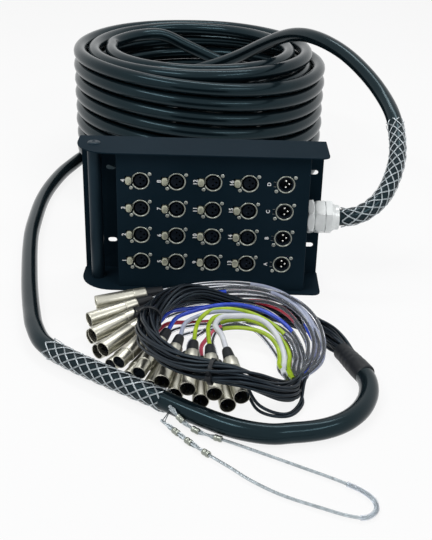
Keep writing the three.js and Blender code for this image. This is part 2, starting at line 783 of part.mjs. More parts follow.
function plugPlaces() {
  const places = [];
  let angle = THREE.MathUtils.degToRad(fanStartDegrees);
  for (let index = 0; index < tailCount; index += 1) {
    const share = index / (tailCount - 1);
    const back = fanNear + (fanFar - fanNear) * share ** fanGrowthShare;
    const upper = index % 2 === 1;
    const ray = new THREE.Vector3(Math.cos(angle), Math.sin(angle), 0);
    const centre = new THREE.Vector3(fanX, fanY, 0);
    const backEnd = centre.clone().addScaledVector(ray, back).setZ(plugLie + (upper ? plugNest : 0));
    const front = centre.clone().addScaledVector(ray, back + plugShell);
    front.setZ(plugLie + (upper ? plugNestFront : 0));
    const along = front.clone().sub(backEnd).normalize();
    places.push({ angle, back, upper, along, tip: backEnd.clone().addScaledVector(along, -plugBoot) });
    angle += plugPitch / back;
  }
  return places;
}

function onEllipse(angle, size, height) {
  return new THREE.Vector3(
    ringX + size * ringHalfX * Math.cos(angle), ringY + size * ringHalfY * Math.sin(angle), height,
  );
}

// One loom of four tails: from the ring's right side over its top to four plugs
function loom(index, places, female) {
  const mine = places.slice(index * tailsPerLoom, (index + 1) * tailsPerLoom);
  const reach = Math.min(...mine.map((place) => place.back)) - plugBoot - tailSplit;
  const fanAngle = mine.reduce((sum, place) => sum + place.angle, 0) / mine.length;
  const relX = (fanX + reach * Math.cos(fanAngle) - ringX) / ringHalfX;
  const relY = (fanY + reach * Math.sin(fanAngle) - ringY) / ringHalfY;
  const endSize = Math.hypot(relX, relY);
  const endAngle = Math.atan2(relY, relX);
  const startAngle = THREE.MathUtils.degToRad(loomStartDegrees);
  const leaveAngle = THREE.MathUtils.degToRad(loomLeaveDegrees[index]);
  const onRing = index < loomsOnRing;
  const ringEdge = ringLayerTurns * strandPitch / 2 + strandRadius + loomRingGap + loomRadius;
  const inset = onRing ? index * loomSpacing : ringEdge + (index - loomsOnRing) * loomSpacing;
  const startSize = 1 - inset / ringHalfX;
  const ringTop = ringLie + strandLayerPitch + strandRadius;
  const startHeight = onRing ? ringTop + loomRingGap + loomRadius : loomRadius + seat;
  const endHeight = plugLie + plugNest / 2;
  const steps = 8;
  const points = [];
  for (let step = 0; step <= steps; step += 1) {
    const share = step / steps;
    const angle = THREE.MathUtils.lerp(startAngle, endAngle, share);
    const leave = THREE.MathUtils.smoothstep(angle, leaveAngle, endAngle);
    const ease = THREE.MathUtils.smoothstep(share, 0, 1);
    const hump = loomRise * Math.sin(Math.PI * share) ** 2;
    points.push(onEllipse(
      angle, THREE.MathUtils.lerp(startSize, endSize, leave),
      THREE.MathUtils.lerp(startHeight, endHeight, ease) + hump,
    ));
  }
  const route = new THREE.CatmullRomCurve3(points);
  const end = route.getPointAt(1);
  const heading = route.getTangentAt(1);
  const pieces = [tube(route, steps, loomRadius, 8)];
  const across = new THREE.Vector3().crossVectors(heading, new THREE.Vector3(0, 0, 1)).normalize();
  mine.forEach((place, which) => {
    const root = end.clone().addScaledVector(heading, -tailRadius);
    root.addScaledVector(across, ((tailsPerLoom - 1) / 2 - which) * tailRootPitch);
    root.z += place.upper ? tailRootRise : -tailRootRise;
    const knee = place.tip.clone().addScaledVector(place.along, -tailSplit / 3);
    const tip = place.tip.clone().addScaledVector(place.along, tailRadius);
    pieces.push(tube(new THREE.CatmullRomCurve3([root, knee, tip]), 2, tailRadius, 8));
    const turn = new THREE.Quaternion().setFromUnitVectors(new THREE.Vector3(0, 1, 0), place.along);
    const body = plug(female).applyQuaternion(turn).translate(place.tip.x, place.tip.y, place.tip.z);
    pieces.push(body);
  });
  return joined(...pieces);
}

// Assembly: the box
addPiece('chassis', chassis(), finish.coat);
addPiece('connector_cover', cover(), finish.coat);
const uprightTube = handleTube().rotateX(Math.PI / 2);
addPiece('handle_tube', uprightTube, finish.coat).position.set(handleX, handleShiftY, sheet + seat);
const topScrewPiece = addPiece('handle_screw_top', topScrew().rotateX(Math.PI / 2), finish.coat);
topScrewPiece.position.set(handleX, handleShiftY, boxHeight);
const lowScrewPiece = addPiece('handle_screw_bottom', bottomScrew().rotateX(Math.PI / 2), finish.coat);
lowScrewPiece.position.set(handleX, handleShiftY, seat / 2);

// Assembly: channels are counted up each column, and the last column holds the lettered returns
const channelLetters = ['a', 'b', 'c', 'd'];
for (let column = 0; column < columnCount; column += 1) {
  for (let row = 0; row < rowCount; row += 1) {
    const place = socketPlace(column, row);
    const fromBottom = rowCount - 1 - row;
    if (column < columnCount - 1) {
      const channel = String(column * rowCount + fromBottom + 1).padStart(2, '0');
      addPiece(`socket_${channel}`, femaleSocket(), finish.nickel).position.copy(place);
      addPiece(`latch_${channel}`, latch(), finish.nickel).position.copy(place);
    } else {
      addPiece(`socket_${channelLetters[fromBottom]}`, maleSocket(), finish.nickel).position.copy(place);
    }
  }
}

// Assembly: the gland
for (const [name, geometry] of [
  ['gland_body', glandBody()], ['gland_locknut', glandLocknut()], ['gland_dome_nut', glandDomeNut()],
]) {
  const piece = addPiece(name, geometry.rotateZ(-Math.PI / 2), finish.gland);
  piece.position.set(coverRight, glandShiftY, glandHeight);
}

// Assembly: the multicore cable
const woundPath = coilPath();
const coilStart = woundPath[0].clone().add(new THREE.Vector3(0, seat, 0));
const coilEnd = woundPath[woundPath.length - 1].clone().add(new THREE.Vector3(0, -seat, 0));
const coilLead = 2 * cableRadius;
const boxCurve = new THREE.CatmullRomCurve3([
  ...pointsOf(boxRoute), coilStart.clone().add(new THREE.Vector3(0, coilLead / 2, 0)), coilStart,
], false, 'centripetal');
const tailRing = ringPath();
const ringEntry = tailRing[0];
const bootAxis = tailRing[1].clone().sub(ringEntry).setZ(0).normalize();
const jacketEnd = ringEntry.clone().addScaledVector(bootAxis, -bootLength - 2 * seat).setZ(cableLie);
const fanCurve = new THREE.CatmullRomCurve3([
  coilEnd, coilEnd.clone().add(new THREE.Vector3(0, -coilLead / 2, 0)), ...pointsOf(fanRoute),
  jacketEnd.clone().addScaledVector(bootAxis, -bootLead), jacketEnd,
], false, 'centripetal');
const boxSteps = 42;
const fanSteps = 30;
addPiece('multicore_box_end', tube(boxCurve, boxSteps, cableRadius, cableSides), finish.jacket);
addPiece('multicore_coil', windTube(woundPath, cableRadius, 6), finish.jacket);
addPiece('multicore_coil_core', coilCore(), finish.jacket);
addPiece('multicore_fan_end', tube(fanCurve, fanSteps, cableRadius, cableSides), finish.jacket);
console.log('least gap in the coil', leastGap(woundPath, cableRadius, loopSteps / 2).toFixed(2));
console.log('box stretch', boxCurve.getLength().toFixed(0), 'fan stretch', fanCurve.getLength().toFixed(0));

// Assembly: the grips sit round the cable with a gap that its facets cannot close
const gripBore = cableRadius / Math.cos(Math.PI / cableSides) + gripGap;
const gripLead = coverRight + glandReach + boxGripGap - boxRoute[0][0];
const boxLength = boxCurve.getLength();
const boxGripFrom = gripLead / boxLength;
const boxGripTo = (gripLead + boxGripLength) / boxLength;
addPiece(
  'cable_grip_box_end', sleeve(boxCurve, boxSteps, boxGripFrom, boxGripTo, gripBore, gripWall, cableSides),
  finish.steel,
);
const fanLength = fanCurve.getLength();
const fanGripFrom = fanGripStart / fanLength;
const fanGripTo = fanGripFrom + fanGripLength / fanLength;
addPiece(
  'cable_grip_fan_end', sleeve(fanCurve, fanSteps, fanGripFrom, fanGripTo, gripBore, gripWall, cableSides),
  finish.steel,
);

// Assembly: the pulling eye
const eyeCurve = new THREE.CatmullRomCurve3(pointsOf(eyeRoute), false, 'centripetal');
const eyeSteps = 24;
const eyePieces = [tube(eyeCurve, eyeSteps, wireRadius, 8)];
for (const share of eyeFerruleShares) {
  const along = eyeCurve.getTangentAt(share);
  const place = eyeCurve.getPointAt(share);
  const turn = new THREE.Quaternion().setFromUnitVectors(new THREE.Vector3(0, 1, 0), along);
  const ferrule = rod(ferruleRadius, -ferruleLength / 2, ferruleLength / 2, 6).applyQuaternion(turn);
  eyePieces.push(ferrule.translate(place.x, place.y, place.z));
}
const eyeBend = new Stretch(eyeCurve, eyeSteps, eyeSleeveFromShare, eyeSleeveToShare);
eyePieces.push(tube(eyeBend, eyeBend.stops.length - 1, eyeSleeveRadius, 8));
addPiece('pulling_eye', joined(...eyePieces), finish.steel);

// Assembly: the fan-out, its ring, ties and looms
const boot = new THREE.CylinderGeometry(bootTipRadius, cableRadius, bootLength, 12);
boot.applyQuaternion(new THREE.Quaternion().setFromUnitVectors(new THREE.Vector3(0, 1, 0), bootAxis));
const bootMiddle = jacketEnd.clone().addScaledVector(bootAxis, seat + bootLength / 2);
addPiece('fan_out_boot', boot, finish.tail).position.copy(bootMiddle);
addPiece('tails_ring', windTube(tailRing, strandRadius, 6), finish.tail);
console.log('least gap in the ring of tails', leastGap(tailRing, strandRadius, loopSteps / 2).toFixed(2));
addPiece('cable_tie_left', cableTie(tieLeftDegrees), finish.tail);
addPiece('cable_tie_front', cableTie(tieFrontDegrees), finish.tail);
const places = plugPlaces();
['tails_1_4', 'tails_5_8', 'tails_a_d', 'tails_9_12', 'tails_13_16'].forEach((name, index) => {
  addPiece(name, loom(index, places, name === 'tails_a_d'), finish.nickel);
});

export default group;
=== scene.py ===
"""Stage box snake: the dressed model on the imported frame. Tables are in millimetres, objects in metres."""

import itertools
import math

import bmesh
import bpy
from mathutils import Matrix, Vector, noise


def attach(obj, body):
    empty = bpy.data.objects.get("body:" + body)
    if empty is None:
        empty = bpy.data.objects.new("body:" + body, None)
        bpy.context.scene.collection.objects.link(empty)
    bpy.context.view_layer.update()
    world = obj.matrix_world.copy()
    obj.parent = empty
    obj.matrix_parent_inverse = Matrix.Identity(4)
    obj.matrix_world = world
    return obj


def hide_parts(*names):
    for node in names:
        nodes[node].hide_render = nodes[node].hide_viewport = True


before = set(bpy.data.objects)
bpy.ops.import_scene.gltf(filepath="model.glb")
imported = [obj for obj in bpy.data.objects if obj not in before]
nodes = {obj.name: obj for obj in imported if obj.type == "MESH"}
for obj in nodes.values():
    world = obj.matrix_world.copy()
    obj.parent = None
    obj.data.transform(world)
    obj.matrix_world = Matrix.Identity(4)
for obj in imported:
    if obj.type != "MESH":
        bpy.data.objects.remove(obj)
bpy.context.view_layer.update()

MM = 0.001
TURN = 2 * math.pi
UP = Vector((0, 0, 1))
collection = bpy.context.scene.collection

# Camera: at the photograph's place and angle
SENSOR_WIDTH, LENS, CLIP_END = 36, 63.33, 100
CAMERA_PLACE = (29.25, -1164.3, 586.2)
CAMERA_RIGHT = (0.9996, 0.0176, 0.0218)
CAMERA_UP = (-0.0273, 0.4389, 0.8982)
CAMERA_BACK = (0.0062, -0.8984, 0.4392)


def make_camera():
    data = bpy.data.cameras.new("camera")
    data.sensor_width = SENSOR_WIDTH
    data.lens = LENS
    data.clip_end = CLIP_END
    camera = bpy.data.objects.new("camera", data)
    collection.objects.link(camera)
    turn = Matrix((CAMERA_RIGHT, CAMERA_UP, CAMERA_BACK)).transposed().to_4x4()
    camera.matrix_world = Matrix.Translation(Vector(CAMERA_PLACE) * MM) @ turn
    bpy.context.scene.camera = camera


make_camera()

# Materials
TINT_STOPS = (0.35, 0.68)
RELIEF_STRENGTH = 0.6


def add(tree, kind, **values):
    node = tree.nodes.new(kind)
    for key, value in values.items():
        setattr(node, key, value)
    return node


def ramp(tree, low, high):
    """A blend from one tint to the other between the two stops."""
    node = add(tree, "ShaderNodeValToRGB")
    for stop, place, tint in zip(node.color_ramp.elements, TINT_STOPS, (low, high)):
        stop.position = place
        stop.color = (*tint, 1)
    return node


def noise_of(tree, place, scale, detail=3.0, stretch=None):
    node = add(tree, "ShaderNodeTexNoise")
    node.inputs["Scale"].default_value = scale
    node.inputs["Detail"].default_value = detail
    if stretch:
        mapping = add(tree, "ShaderNodeMapping")
        mapping.inputs["Scale"].default_value = stretch
        tree.links.new(place, mapping.inputs["Vector"])
        place = mapping.outputs["Vector"]
    tree.links.new(place, node.inputs["Vector"])
    return node


def surface(name, dark, light, patch, grain, rough, bump, metallic=0.0, stretch=None, **constants):
    """Colour drifts between two tints in patches, and a finer grain gives roughness and relief.

    patch and grain are per metre, rough is the range of roughness, and bump the relief in millimetres.
    """
    material = bpy.data.materials.new(name)
    material.use_nodes = True
    tree = material.node_tree
    shader = tree.nodes["Principled BSDF"]
    place = add(tree, "ShaderNodeTexCoord").outputs["Object"]
    large = noise_of(tree, place, patch)
    tint = ramp(tree, dark, light)
    tree.links.new(large.outputs["Fac"], tint.inputs["Fac"])
    tree.links.new(tint.outputs["Color"], shader.inputs["Base Color"])
    fine = noise_of(tree, place, grain, 2.0, stretch)
    spread = add(tree, "ShaderNodeMapRange")
    spread.inputs["To Min"].default_value = rough[0]
    spread.inputs["To Max"].default_value = rough[1]
    tree.links.new(fine.outputs["Fac"], spread.inputs["Value"])
    tree.links.new(spread.outputs["Result"], shader.inputs["Roughness"])
    relief = add(tree, "ShaderNodeBump")
    relief.inputs["Distance"].default_value = bump * MM
    relief.inputs["Strength"].default_value = RELIEF_STRENGTH
    tree.links.new(fine.outputs["Fac"], relief.inputs["Height"])
    tree.links.new(relief.outputs["Normal"], shader.inputs["Normal"])
    shader.inputs["Metallic"].default_value = metallic
    for key, value in constants.items():
        shader.inputs[key.replace("_", " ")].default_value = value
    return material


COAT = surface(
    "powder_coat", (0.0062, 0.0152, 0.0235), (0.0088, 0.0195, 0.0295), 9, 1500, (0.44, 0.56), 0.05,
    Specular_IOR_Level=0.014, Specular_Tint=(0.45, 0.8, 1.0, 1),
)
HANDLE = surface(
    "handle_coat", (0.0056, 0.0132, 0.02), (0.0078, 0.0168, 0.0255), 9, 1500, (0.34, 0.44), 0.03,
    Specular_IOR_Level=0.22, Specular_Tint=(0.5, 0.8, 1.0, 1),
)
NICKEL = surface(
    "satin_nickel", (0.45, 0.445, 0.385), (0.57, 0.56, 0.485), 45, 500, (0.28, 0.4), 0.003, 1.0,
    stretch=(1, 0.06, 1),
)
BRIGHT = surface("bright_nickel", (0.24, 0.26, 0.23), (0.35, 0.37, 0.33), 120, 1500, (0.22, 0.34), 0.006, 1.0)
PIN = surface("bright_pin", (0.75, 0.75, 0.72), (0.85, 0.85, 0.82), 120, 1500, (0.14, 0.24), 0.004, 1.0)
STEEL = surface("dark_steel", (0.26, 0.28, 0.26), (0.4, 0.42, 0.39), 150, 1500, (0.24, 0.36), 0.006, 1.0)
TAB = surface("latch_nickel", (0.37, 0.38, 0.3), (0.49, 0.5, 0.4), 120, 1500, (0.34, 0.46), 0.004, 0.9)
GLAND = surface("gland_metal", (0.72, 0.75, 0.75), (0.82, 0.85, 0.85), 60, 500, (0.28, 0.38), 0.002, 0.3)
JACKET = surface(
    "jacket", (0.003, 0.0068, 0.0094), (0.005, 0.0108, 0.0142), 14, 260, (0.16, 0.2), 0.004,
    Specular_IOR_Level=0.28, Specular_Tint=(0.5, 0.82, 0.95, 1),
)
RUBBER = surface(
    "rubber", (0.005, 0.0068, 0.0095), (0.0095, 0.012, 0.0155), 60, 1800, (0.4, 0.55), 0.06,
    Specular_IOR_Level=0.3,
)
TAIL = surface(
    "tail_jacket", (0.003, 0.0048, 0.0085), (0.007, 0.0105, 0.017), 40, 900, (0.24, 0.36), 0.04,
    Specular_IOR_Level=0.34, Specular_Tint=(0.66, 0.86, 1.0, 1),
)
INSERT = surface(
    "insert_plastic", (0.0038, 0.0066, 0.011), (0.0066, 0.0108, 0.017), 150, 1500, (0.36, 0.5), 0.03,
    Specular_IOR_Level=0.06,
)
WIRE = surface("galvanised_wire", (0.34, 0.38, 0.4), (0.52, 0.57, 0.6), 200, 1400, (0.26, 0.42), 0.01, 0.9)
PRINT = surface("white_print", (0.88, 0.9, 0.92), (0.94, 0.95, 0.96), 300, 2500, (0.45, 0.6), 0.01)
CLEAR = surface(
    "clear_sleeve", (0.88, 0.91, 0.97), (0.94, 0.96, 1.0), 80, 700, (0.04, 0.1), 0.02,
    Transmission_Weight=0.92, IOR=1.2,
)
SLEEVES = {
    "clear": CLEAR,
    "milky": surface(
        "milky_sleeve", (0.52, 0.58, 0.8), (0.66, 0.72, 0.9), 80, 700, (0.1, 0.2), 0.02,
        Transmission_Weight=0.3, IOR=1.42,
    ),
    "white": surface("white_sleeve", (0.7, 0.73, 0.8), (0.82, 0.85, 0.9), 60, 900, (0.2, 0.32), 0.02),
    "blue": surface("blue_sleeve", (0.01, 0.05, 0.55), (0.03, 0.1, 0.75), 60, 900, (0.16, 0.28), 0.02),
    "red": surface("red_sleeve", (0.55, 0.02, 0.05), (0.75, 0.05, 0.09), 60, 900, (0.2, 0.32), 0.02),
    "pink": surface("pink_sleeve", (0.6, 0.05, 0.12), (0.8, 0.12, 0.2), 60, 900, (0.2, 0.32), 0.02),
    "lime": surface("lime_sleeve", (0.33, 0.5, 0.01), (0.48, 0.66, 0.03), 60, 900, (0.2, 0.32), 0.02),
}


# Floor, world and lamps
def white_for_camera(tree):
    """One where the camera, a reflection or a refraction looks, else zero."""
    path = add(tree, "ShaderNodeLightPath")
    first = add(tree, "ShaderNodeMath", operation="MAXIMUM")
    second = add(tree, "ShaderNodeMath", operation="MAXIMUM")
    tree.links.new(path.outputs["Is Camera Ray"], first.inputs[0])
    tree.links.new(path.outputs["Is Glossy Ray"], first.inputs[1])
    tree.links.new(first.outputs[0], second.inputs[0])
    tree.links.new(path.outputs["Is Transmission Ray"], second.inputs[1])
    return second.outputs[0]


AMBIENT = 0.36
FLOOR_GLOW = 0.86
FLOOR_HALF = 30


def make_world():
    world = bpy.data.worlds.new("studio")
    bpy.context.scene.world = world
    world.use_nodes = True
    tree = world.node_tree
    strength = add(tree, "ShaderNodeMapRange")
    strength.inputs["To Min"].default_value = AMBIENT
    strength.inputs["To Max"].default_value = 1.0
    tree.links.new(white_for_camera(tree), strength.inputs["Value"])
    background = tree.nodes["Background"]
    background.inputs["Color"].default_value = (1, 1, 1, 1)
    tree.links.new(strength.outputs["Result"], background.inputs["Strength"])


def make_floor():
    material = surface("floor", (0.86, 0.87, 0.88), (0.9, 0.9, 0.91), 2, 40, (0.6, 0.75), 0.02)
    tree = material.node_tree
    glow = add(tree, "ShaderNodeEmission")
    glow.inputs["Color"].default_value = (1, 1, 1, 1)
    share = add(tree, "ShaderNodeMath", operation="MULTIPLY")
    share.inputs[1].default_value = FLOOR_GLOW
    tree.links.new(white_for_camera(tree), share.inputs[0])
    mix = add(tree, "ShaderNodeMixShader")
    tree.links.new(share.outputs[0], mix.inputs["Fac"])
    tree.links.new(tree.nodes["Principled BSDF"].outputs["BSDF"], mix.inputs[1])
    tree.links.new(glow.outputs["Emission"], mix.inputs[2])
    tree.links.new(mix.outputs["Shader"], tree.nodes["Material Output"].inputs["Surface"])
    mesh = bpy.data.meshes.new("floor")
    corners = [(x * FLOOR_HALF, y * FLOOR_HALF, 0) for x, y in ((-1, -1), (1, -1), (1, 1), (-1, 1))]
    mesh.from_pydata(corners, [], [(0, 1, 2, 3)])
    mesh.materials.append(material)
    floor = bpy.data.objects.new("floor", mesh)
    collection.objects.link(floor)


def make_lamp(name, place, aim, size, power):
    data = bpy.data.lights.new(name, "AREA")
    data.shape = "RECTANGLE"
    data.size, data.size_y = size
    data.energy = power
    lamp = bpy.data.objects.new(name, data)
    collection.objects.link(lamp)
    lamp.location = place
    lamp.rotation_mode = "QUATERNION"
    lamp.rotation_quaternion = (Vector(aim) - Vector(place)).to_track_quat("-Z", "Y")


make_world()
make_floor()
make_lamp("key", (-0.9, -0.7, 1.7), (0, 0.15, 0.05), (1.1, 0.16), 12)
make_lamp("top", (0.2, 0.75, 1.75), (0, 0.3, 0.1), (1.4, 0.22), 10)
make_lamp("fill", (1.2, -1.2, 1.5), (0, 0.1, 0.05), (1.2, 0.18), 8)


# Routes: lines are lists of points in metres
SPACING = 0.003


def mm(x, y, z):
    return Vector((x, y, z)) * MM


def route(table):
    return [mm(*point) for point in table]


def smooth(low, high, value):
    share = min(max((value - low) / (high - low), 0), 1)
    return share * share * (3 - 2 * share)


def lerp(low, high, share):
    return low + (high - low) * share


def evenly(points, spacing):
    """The line again with its points evenly spaced."""
    reach = [0.0]
    for before, after in zip(points, points[1:]):
        reach.append(reach[-1] + (after - before).length)
    count = max(2, math.ceil(reach[-1] / spacing))
    made, at = [], 0
    for step in range(count + 1):
        goal = reach[-1] * step / count
        while at < len(points) - 2 and reach[at + 1] < goal:
            at += 1
        share = (goal - reach[at]) / max(reach[at + 1] - reach[at], 1e-9)
        made.append(points[at].lerp(points[at + 1], share))
    return made


def through(points, spacing=SPACING):
    """Points on the centripetal Catmull-Rom curve through the given ones."""
    knots = [2 * points[0] - points[1], *points, 2 * points[-1] - points[-2]]
    fine = [points[0]]
    for a, b, c, d in zip(knots, knots[1:], knots[2:], knots[3:]):
        first, middle, last = (max((q - p).length, 1e-6) ** 0.5 for p, q in ((a, b), (b, c), (c, d)))
        leave = ((b - a) / first - (c - a) / (first + middle) + (c - b) / middle) * middle
        come = ((c - b) / middle - (d - b) / (middle + last) + (d - c) / last) * middle
        square = 3 * (c - b) - 2 * leave - come
        cube = 2 * (b - c) + leave + come
        count = max(2, math.ceil((c - b).length / spacing))
        for step in range(1, count + 1):
            t = step / count
            fine.append(b + leave * t + square * t ** 2 + cube * t ** 3)
    return evenly(fine, spacing)


def length_of(line):
    return sum((b - a).length for a, b in zip(line, line[1:]))


def part_of(line, start, end, spacing=SPACING):
    """The stretch of a line between two distances along it."""
    made, reach = [], 0.0
    for before, after in zip(line, line[1:]):
        step = (after - before).length
        if reach + step >= start and not made:
            made.append(before.lerp(after, max(0, (start - reach) / step)))
        if made and reach + step >= end:
            made.append(before.lerp(after, (end - reach) / step))
            break
        reach += step
        if made:
            made.append(after.copy())
    return evenly(made, spacing)


def frames_of(line):
    """At each point, the way along the line and two ways across it that don't twist."""
    made = []
    across = None
    for index, point in enumerate(line):
        before = line[max(index - 1, 0)]
        after = line[min(index + 1, len(line) - 1)]
        along = (after - before).normalized()
        if across is None:
            across = along.cross(UP)
            if across.length < 0.01:
                across = along.cross(Vector((1, 0, 0)))
        across = (across - along * across.dot(along)).normalized()
        made.append((point, along, across, along.cross(across)))
    return made


def off_line(there, turn, reach):
    """A point this far from a line's point, at this angle round it."""
    point, _, side, other = there
    return point + (side * math.cos(turn) + other * math.sin(turn)) * reach


def along_matrix(point, along):
    """Local Y along a direction, local Z as far up as it can be."""
    side = along.cross(UP).normalized()
    axes = Matrix((side, along.normalized(), side.cross(along).normalized())).transposed()
    return Matrix.Translation(point) @ axes.to_4x4()


# Pieces: angles in degrees, distances at which points merge in metres
SHARP = 35
EASED_SHARP = 28
MERGE, CAD_MERGE = 1e-7, 2e-6
CAD_FLAT = 0.8


def finish_piece(name, data, place=None, stands_for=(), material=None, body="box"):
    """An object of this data on its body. Data that pieces share brings its own material."""
    piece = bpy.data.objects.new(name, data)
    collection.objects.link(piece)
    if place is not None:
        piece.matrix_world = place
    if material is not None:
        data.materials.append(material)
    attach(piece, body)
    if stands_for:
        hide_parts(*stands_for)
    return piece


def curve_piece(name, lines, radius, material, roundness, stands_for=(), radii=None):
    """One tube along each line, all in one object."""
    curve = bpy.data.curves.new(name, "CURVE")
    curve.dimensions = "3D"
    curve.bevel_depth = radius
    curve.bevel_resolution = roundness
    curve.use_fill_caps = True
    for line in lines:
        spline = curve.splines.new("POLY")
        spline.points.add(len(line) - 1)
        for index, point in enumerate(line):
            spline.points[index].co = (*point, 1)
            spline.points[index].radius = radii[index] if radii else 1
        spline.use_smooth = True
    return finish_piece(name, curve, None, stands_for, material)


def shade(mesh, sharp=SHARP):
    """Smooth, but for edges sharper than this many degrees."""
    mesh.shade_smooth()
    mesh.set_sharp_from_angle(angle=math.radians(sharp))
    return mesh


def mesh_from(name, points, faces, sharp=SHARP):
    mesh = bpy.data.meshes.new(name)
    mesh.from_pydata(points, [], faces)
    shape = bmesh.new()
    shape.from_mesh(mesh)
    bmesh.ops.remove_doubles(shape, verts=shape.verts, dist=MERGE)
    bmesh.ops.recalc_face_normals(shape, faces=shape.faces)
    shape.to_mesh(mesh)
    shape.free()
    return shade(mesh, sharp)


def band(low, high, count):
    """The faces between two rings of points, whose first points have these numbers."""
    return [(low + k, low + (k + 1) % count, high + (k + 1) % count, high + k) for k in range(count)]


def turned(name, profile, segments=48):
    """A mesh turned about local Y from (radius, height) pairs, closed where it reaches the axis."""
    points, faces = [], []
    for radius, height in profile:
        for step in range(segments):
            angle = TURN * step / segments
            points.append((radius * math.cos(angle) * MM, height * MM, radius * math.sin(angle) * MM))
    for row in range(len(profile) - 1):
        faces.extend(band(row * segments, (row + 1) * segments, segments))
    return mesh_from(name, points, faces)


def rounded(profile, ease=0.25, steps=2):
    """The profile with each inner corner rounded off by a little."""
    made = [profile[0]]
    for before, corner, after in zip(profile, profile[1:], profile[2:]):
        a, b, c = Vector(before), Vector(corner), Vector(after)
        near = b + (a - b).normalized() * min(ease, (a - b).length * 0.45)
        far = b + (c - b).normalized() * min(ease, (c - b).length * 0.45)
        for step in range(steps + 1):
            t = step / steps
            point = near * (1 - t) ** 2 + 2 * b * t * (1 - t) + far * t ** 2
            made.append((max(point.x, 0), point.y))
    return [*made, profile[-1]]


def refined(node, material, width):
    """A CAD node's own shape with its edges eased."""
    mesh = nodes[node].data.copy()
    mesh.materials.clear()
    shape = bmesh.new()
    shape.from_mesh(mesh)
    bmesh.ops.remove_doubles(shape, verts=shape.verts, dist=CAD_MERGE)
    flat = math.radians(CAD_FLAT)
    bmesh.ops.dissolve_limit(shape, angle_limit=flat, verts=shape.verts, edges=shape.edges)
    shape.to_mesh(mesh)
    shape.free()
    piece = finish_piece(node + "_piece", shade(mesh, EASED_SHARP), None, (node,), material)
    bevel = piece.modifiers.new("edges", "BEVEL")
    bevel.width = width * MM
    bevel.segments = 2
    bevel.limit_method = "ANGLE"
    bevel.angle_limit = math.radians(EASED_SHARP)
    bevel.harden_normals = True
    return piece


def joined(name, meshes, moves=None):
    """Several meshes as one, each moved by its matrix where it has one."""
    shape = bmesh.new()
    for index, mesh in enumerate(meshes):
        before = len(shape.verts)
        shape.from_mesh(mesh)
        shape.verts.ensure_lookup_table()
        if moves and moves[index] is not None:
            bmesh.ops.transform(shape, matrix=moves[index], verts=shape.verts[before:])
    mesh = bpy.data.meshes.new(name)
    shape.to_mesh(mesh)
    shape.free()
    return shade(mesh)


def stacked(name, rows):
    """Outlines joined one to the next, with both ends closed."""
    count = len(rows[0])
    faces = [tuple(range(count)), tuple(range((len(rows) - 1) * count, len(rows) * count))]
    for row in range(len(rows) - 1):
        faces.extend(band(row * count, (row + 1) * count, count))
    return mesh_from(name, [point for row in rows for point in row], faces)


# The multicore cable: one line from the gland, through the coil's layers, to the fan-out boot
CABLE_RADIUS = 11
LIE = 11.2
COIL_X, COIL_Y = -19, 495
COIL_PITCH = 24
COIL_ROWS = 9
COIL_TOP = LIE + (COIL_ROWS - 1) * COIL_PITCH
BOX_ROUTE = [
    (163, 5, 97.5), (184, 5, 97.5), (199, 5.8, 98.4), (215, 10.5, 102.5), (231, 20.5, 110), (247, 38, 122),
    (259, 61, 138), (267, 86, 154), (270, 112, 169), (270, 136, 182), (267, 160, 195), (260, 190, 207),
    (247, 222, 222), (229, 256, 237), (209, 290, 249), (187, 320, 257), (166, 350, 260), (145, 383, 257),
    (121, 420, 245), (87, 464, 220), (51, 500, 193), (7, 531, 168), (-39, 552, 150), (-84, 555, 140),
    (-123, 538, 133), (-143, 500, 127), (-142, 453, 121), (-117, 410, 116), (-76, 380, 111), (-20, 372, 106),
    (40, 388, 101), (82, 428, 98),
]
CROSSING = [
    (100, 398, 177), (113, 440, 171), (107, 490, 160), (80, 545, 150), (40, 582, 153), (0, 597, 165),
    (-48, 600, 185), (-92, 597, 204), (-134, 578, 206), (-173, 528.3, 203.2),
]
FAN_ROUTE = [
    (-227, 461.7, 11.2), (-231, 452, 11.2), (-240, 420, 11.2), (-249, 385, 11.2), (-256, 342, 11.2),
    (-261, 290, 11.2), (-262, 240, 11.2), (-259, 180, 11.2), (-254, 120, 11.2), (-245, 60, 11.2),
    (-234, 0, 11.2), (-222, -60, 11.2), (-208, -120, 11.6), (-196, -163, 13.4), (-178, -202, 14),
    (-146, -233, 14), (-108, -261, 14), (-70, -287, 14), (-34, -311, 14), (6, -338, 13.6), (48, -359, 12.2),
    (85, -366, 11.4), (105.7, -362.4, 11.2), (124, -359, 11.2), (144, -352, 11.2), (163.6, -339, 11.2),
    (179, -321, 11.2), (189.6, -300, 11.3), (195, -278, 11.8), (194.6, -256.5, 12.5), (189.5, -238.6, 12.6),
]
# The inner layer goes down from its first row, and the middle one up to its last row. The first
# is counted down from the top row, and the last up from the one on the floor.
INNER_START, INNER_END, INNER_STEPS = -0.44, 12.32, 36
START_RADIUS, START_HEIGHT = 122, 99
FIRST_ROW, LAST_ROW = 3, 7
DOWN_TURNS = COIL_ROWS - 1 - FIRST_ROW
INNER_RADIUS, MIDDLE_RADIUS = 160, 184
# Two top turns, then the outer layer
OUTER_TURNS, OUTER_STEPS = 10, 40
TURN_RADII = (154, 184, 208)
# Shares of a turn in which the cable steps to the next row or the next layer
ROW_STEP, LAYER_STEP = (0.08, 0.42), (0.6, 0.9)
WOBBLE, WOBBLE_ENDS = 1.1, 9.6
CABLE_SPACING = 0.006


def wound(turns, radius, height, wobble=WOBBLE):
    """A point of the coil, from the left side round by the front, and a little out of true."""
    angle = math.pi + TURN * turns
    swell = noise.noise(Vector((turns * 2.3, radius * 0.11, 0.5))) * wobble * 1.6
    lift = noise.noise(Vector((turns * 1.9, radius * 0.07, 7.5))) * wobble
    reach = radius + swell
    return mm(COIL_X + reach * math.cos(angle), COIL_Y + reach * math.sin(angle), max(height + lift, LIE))


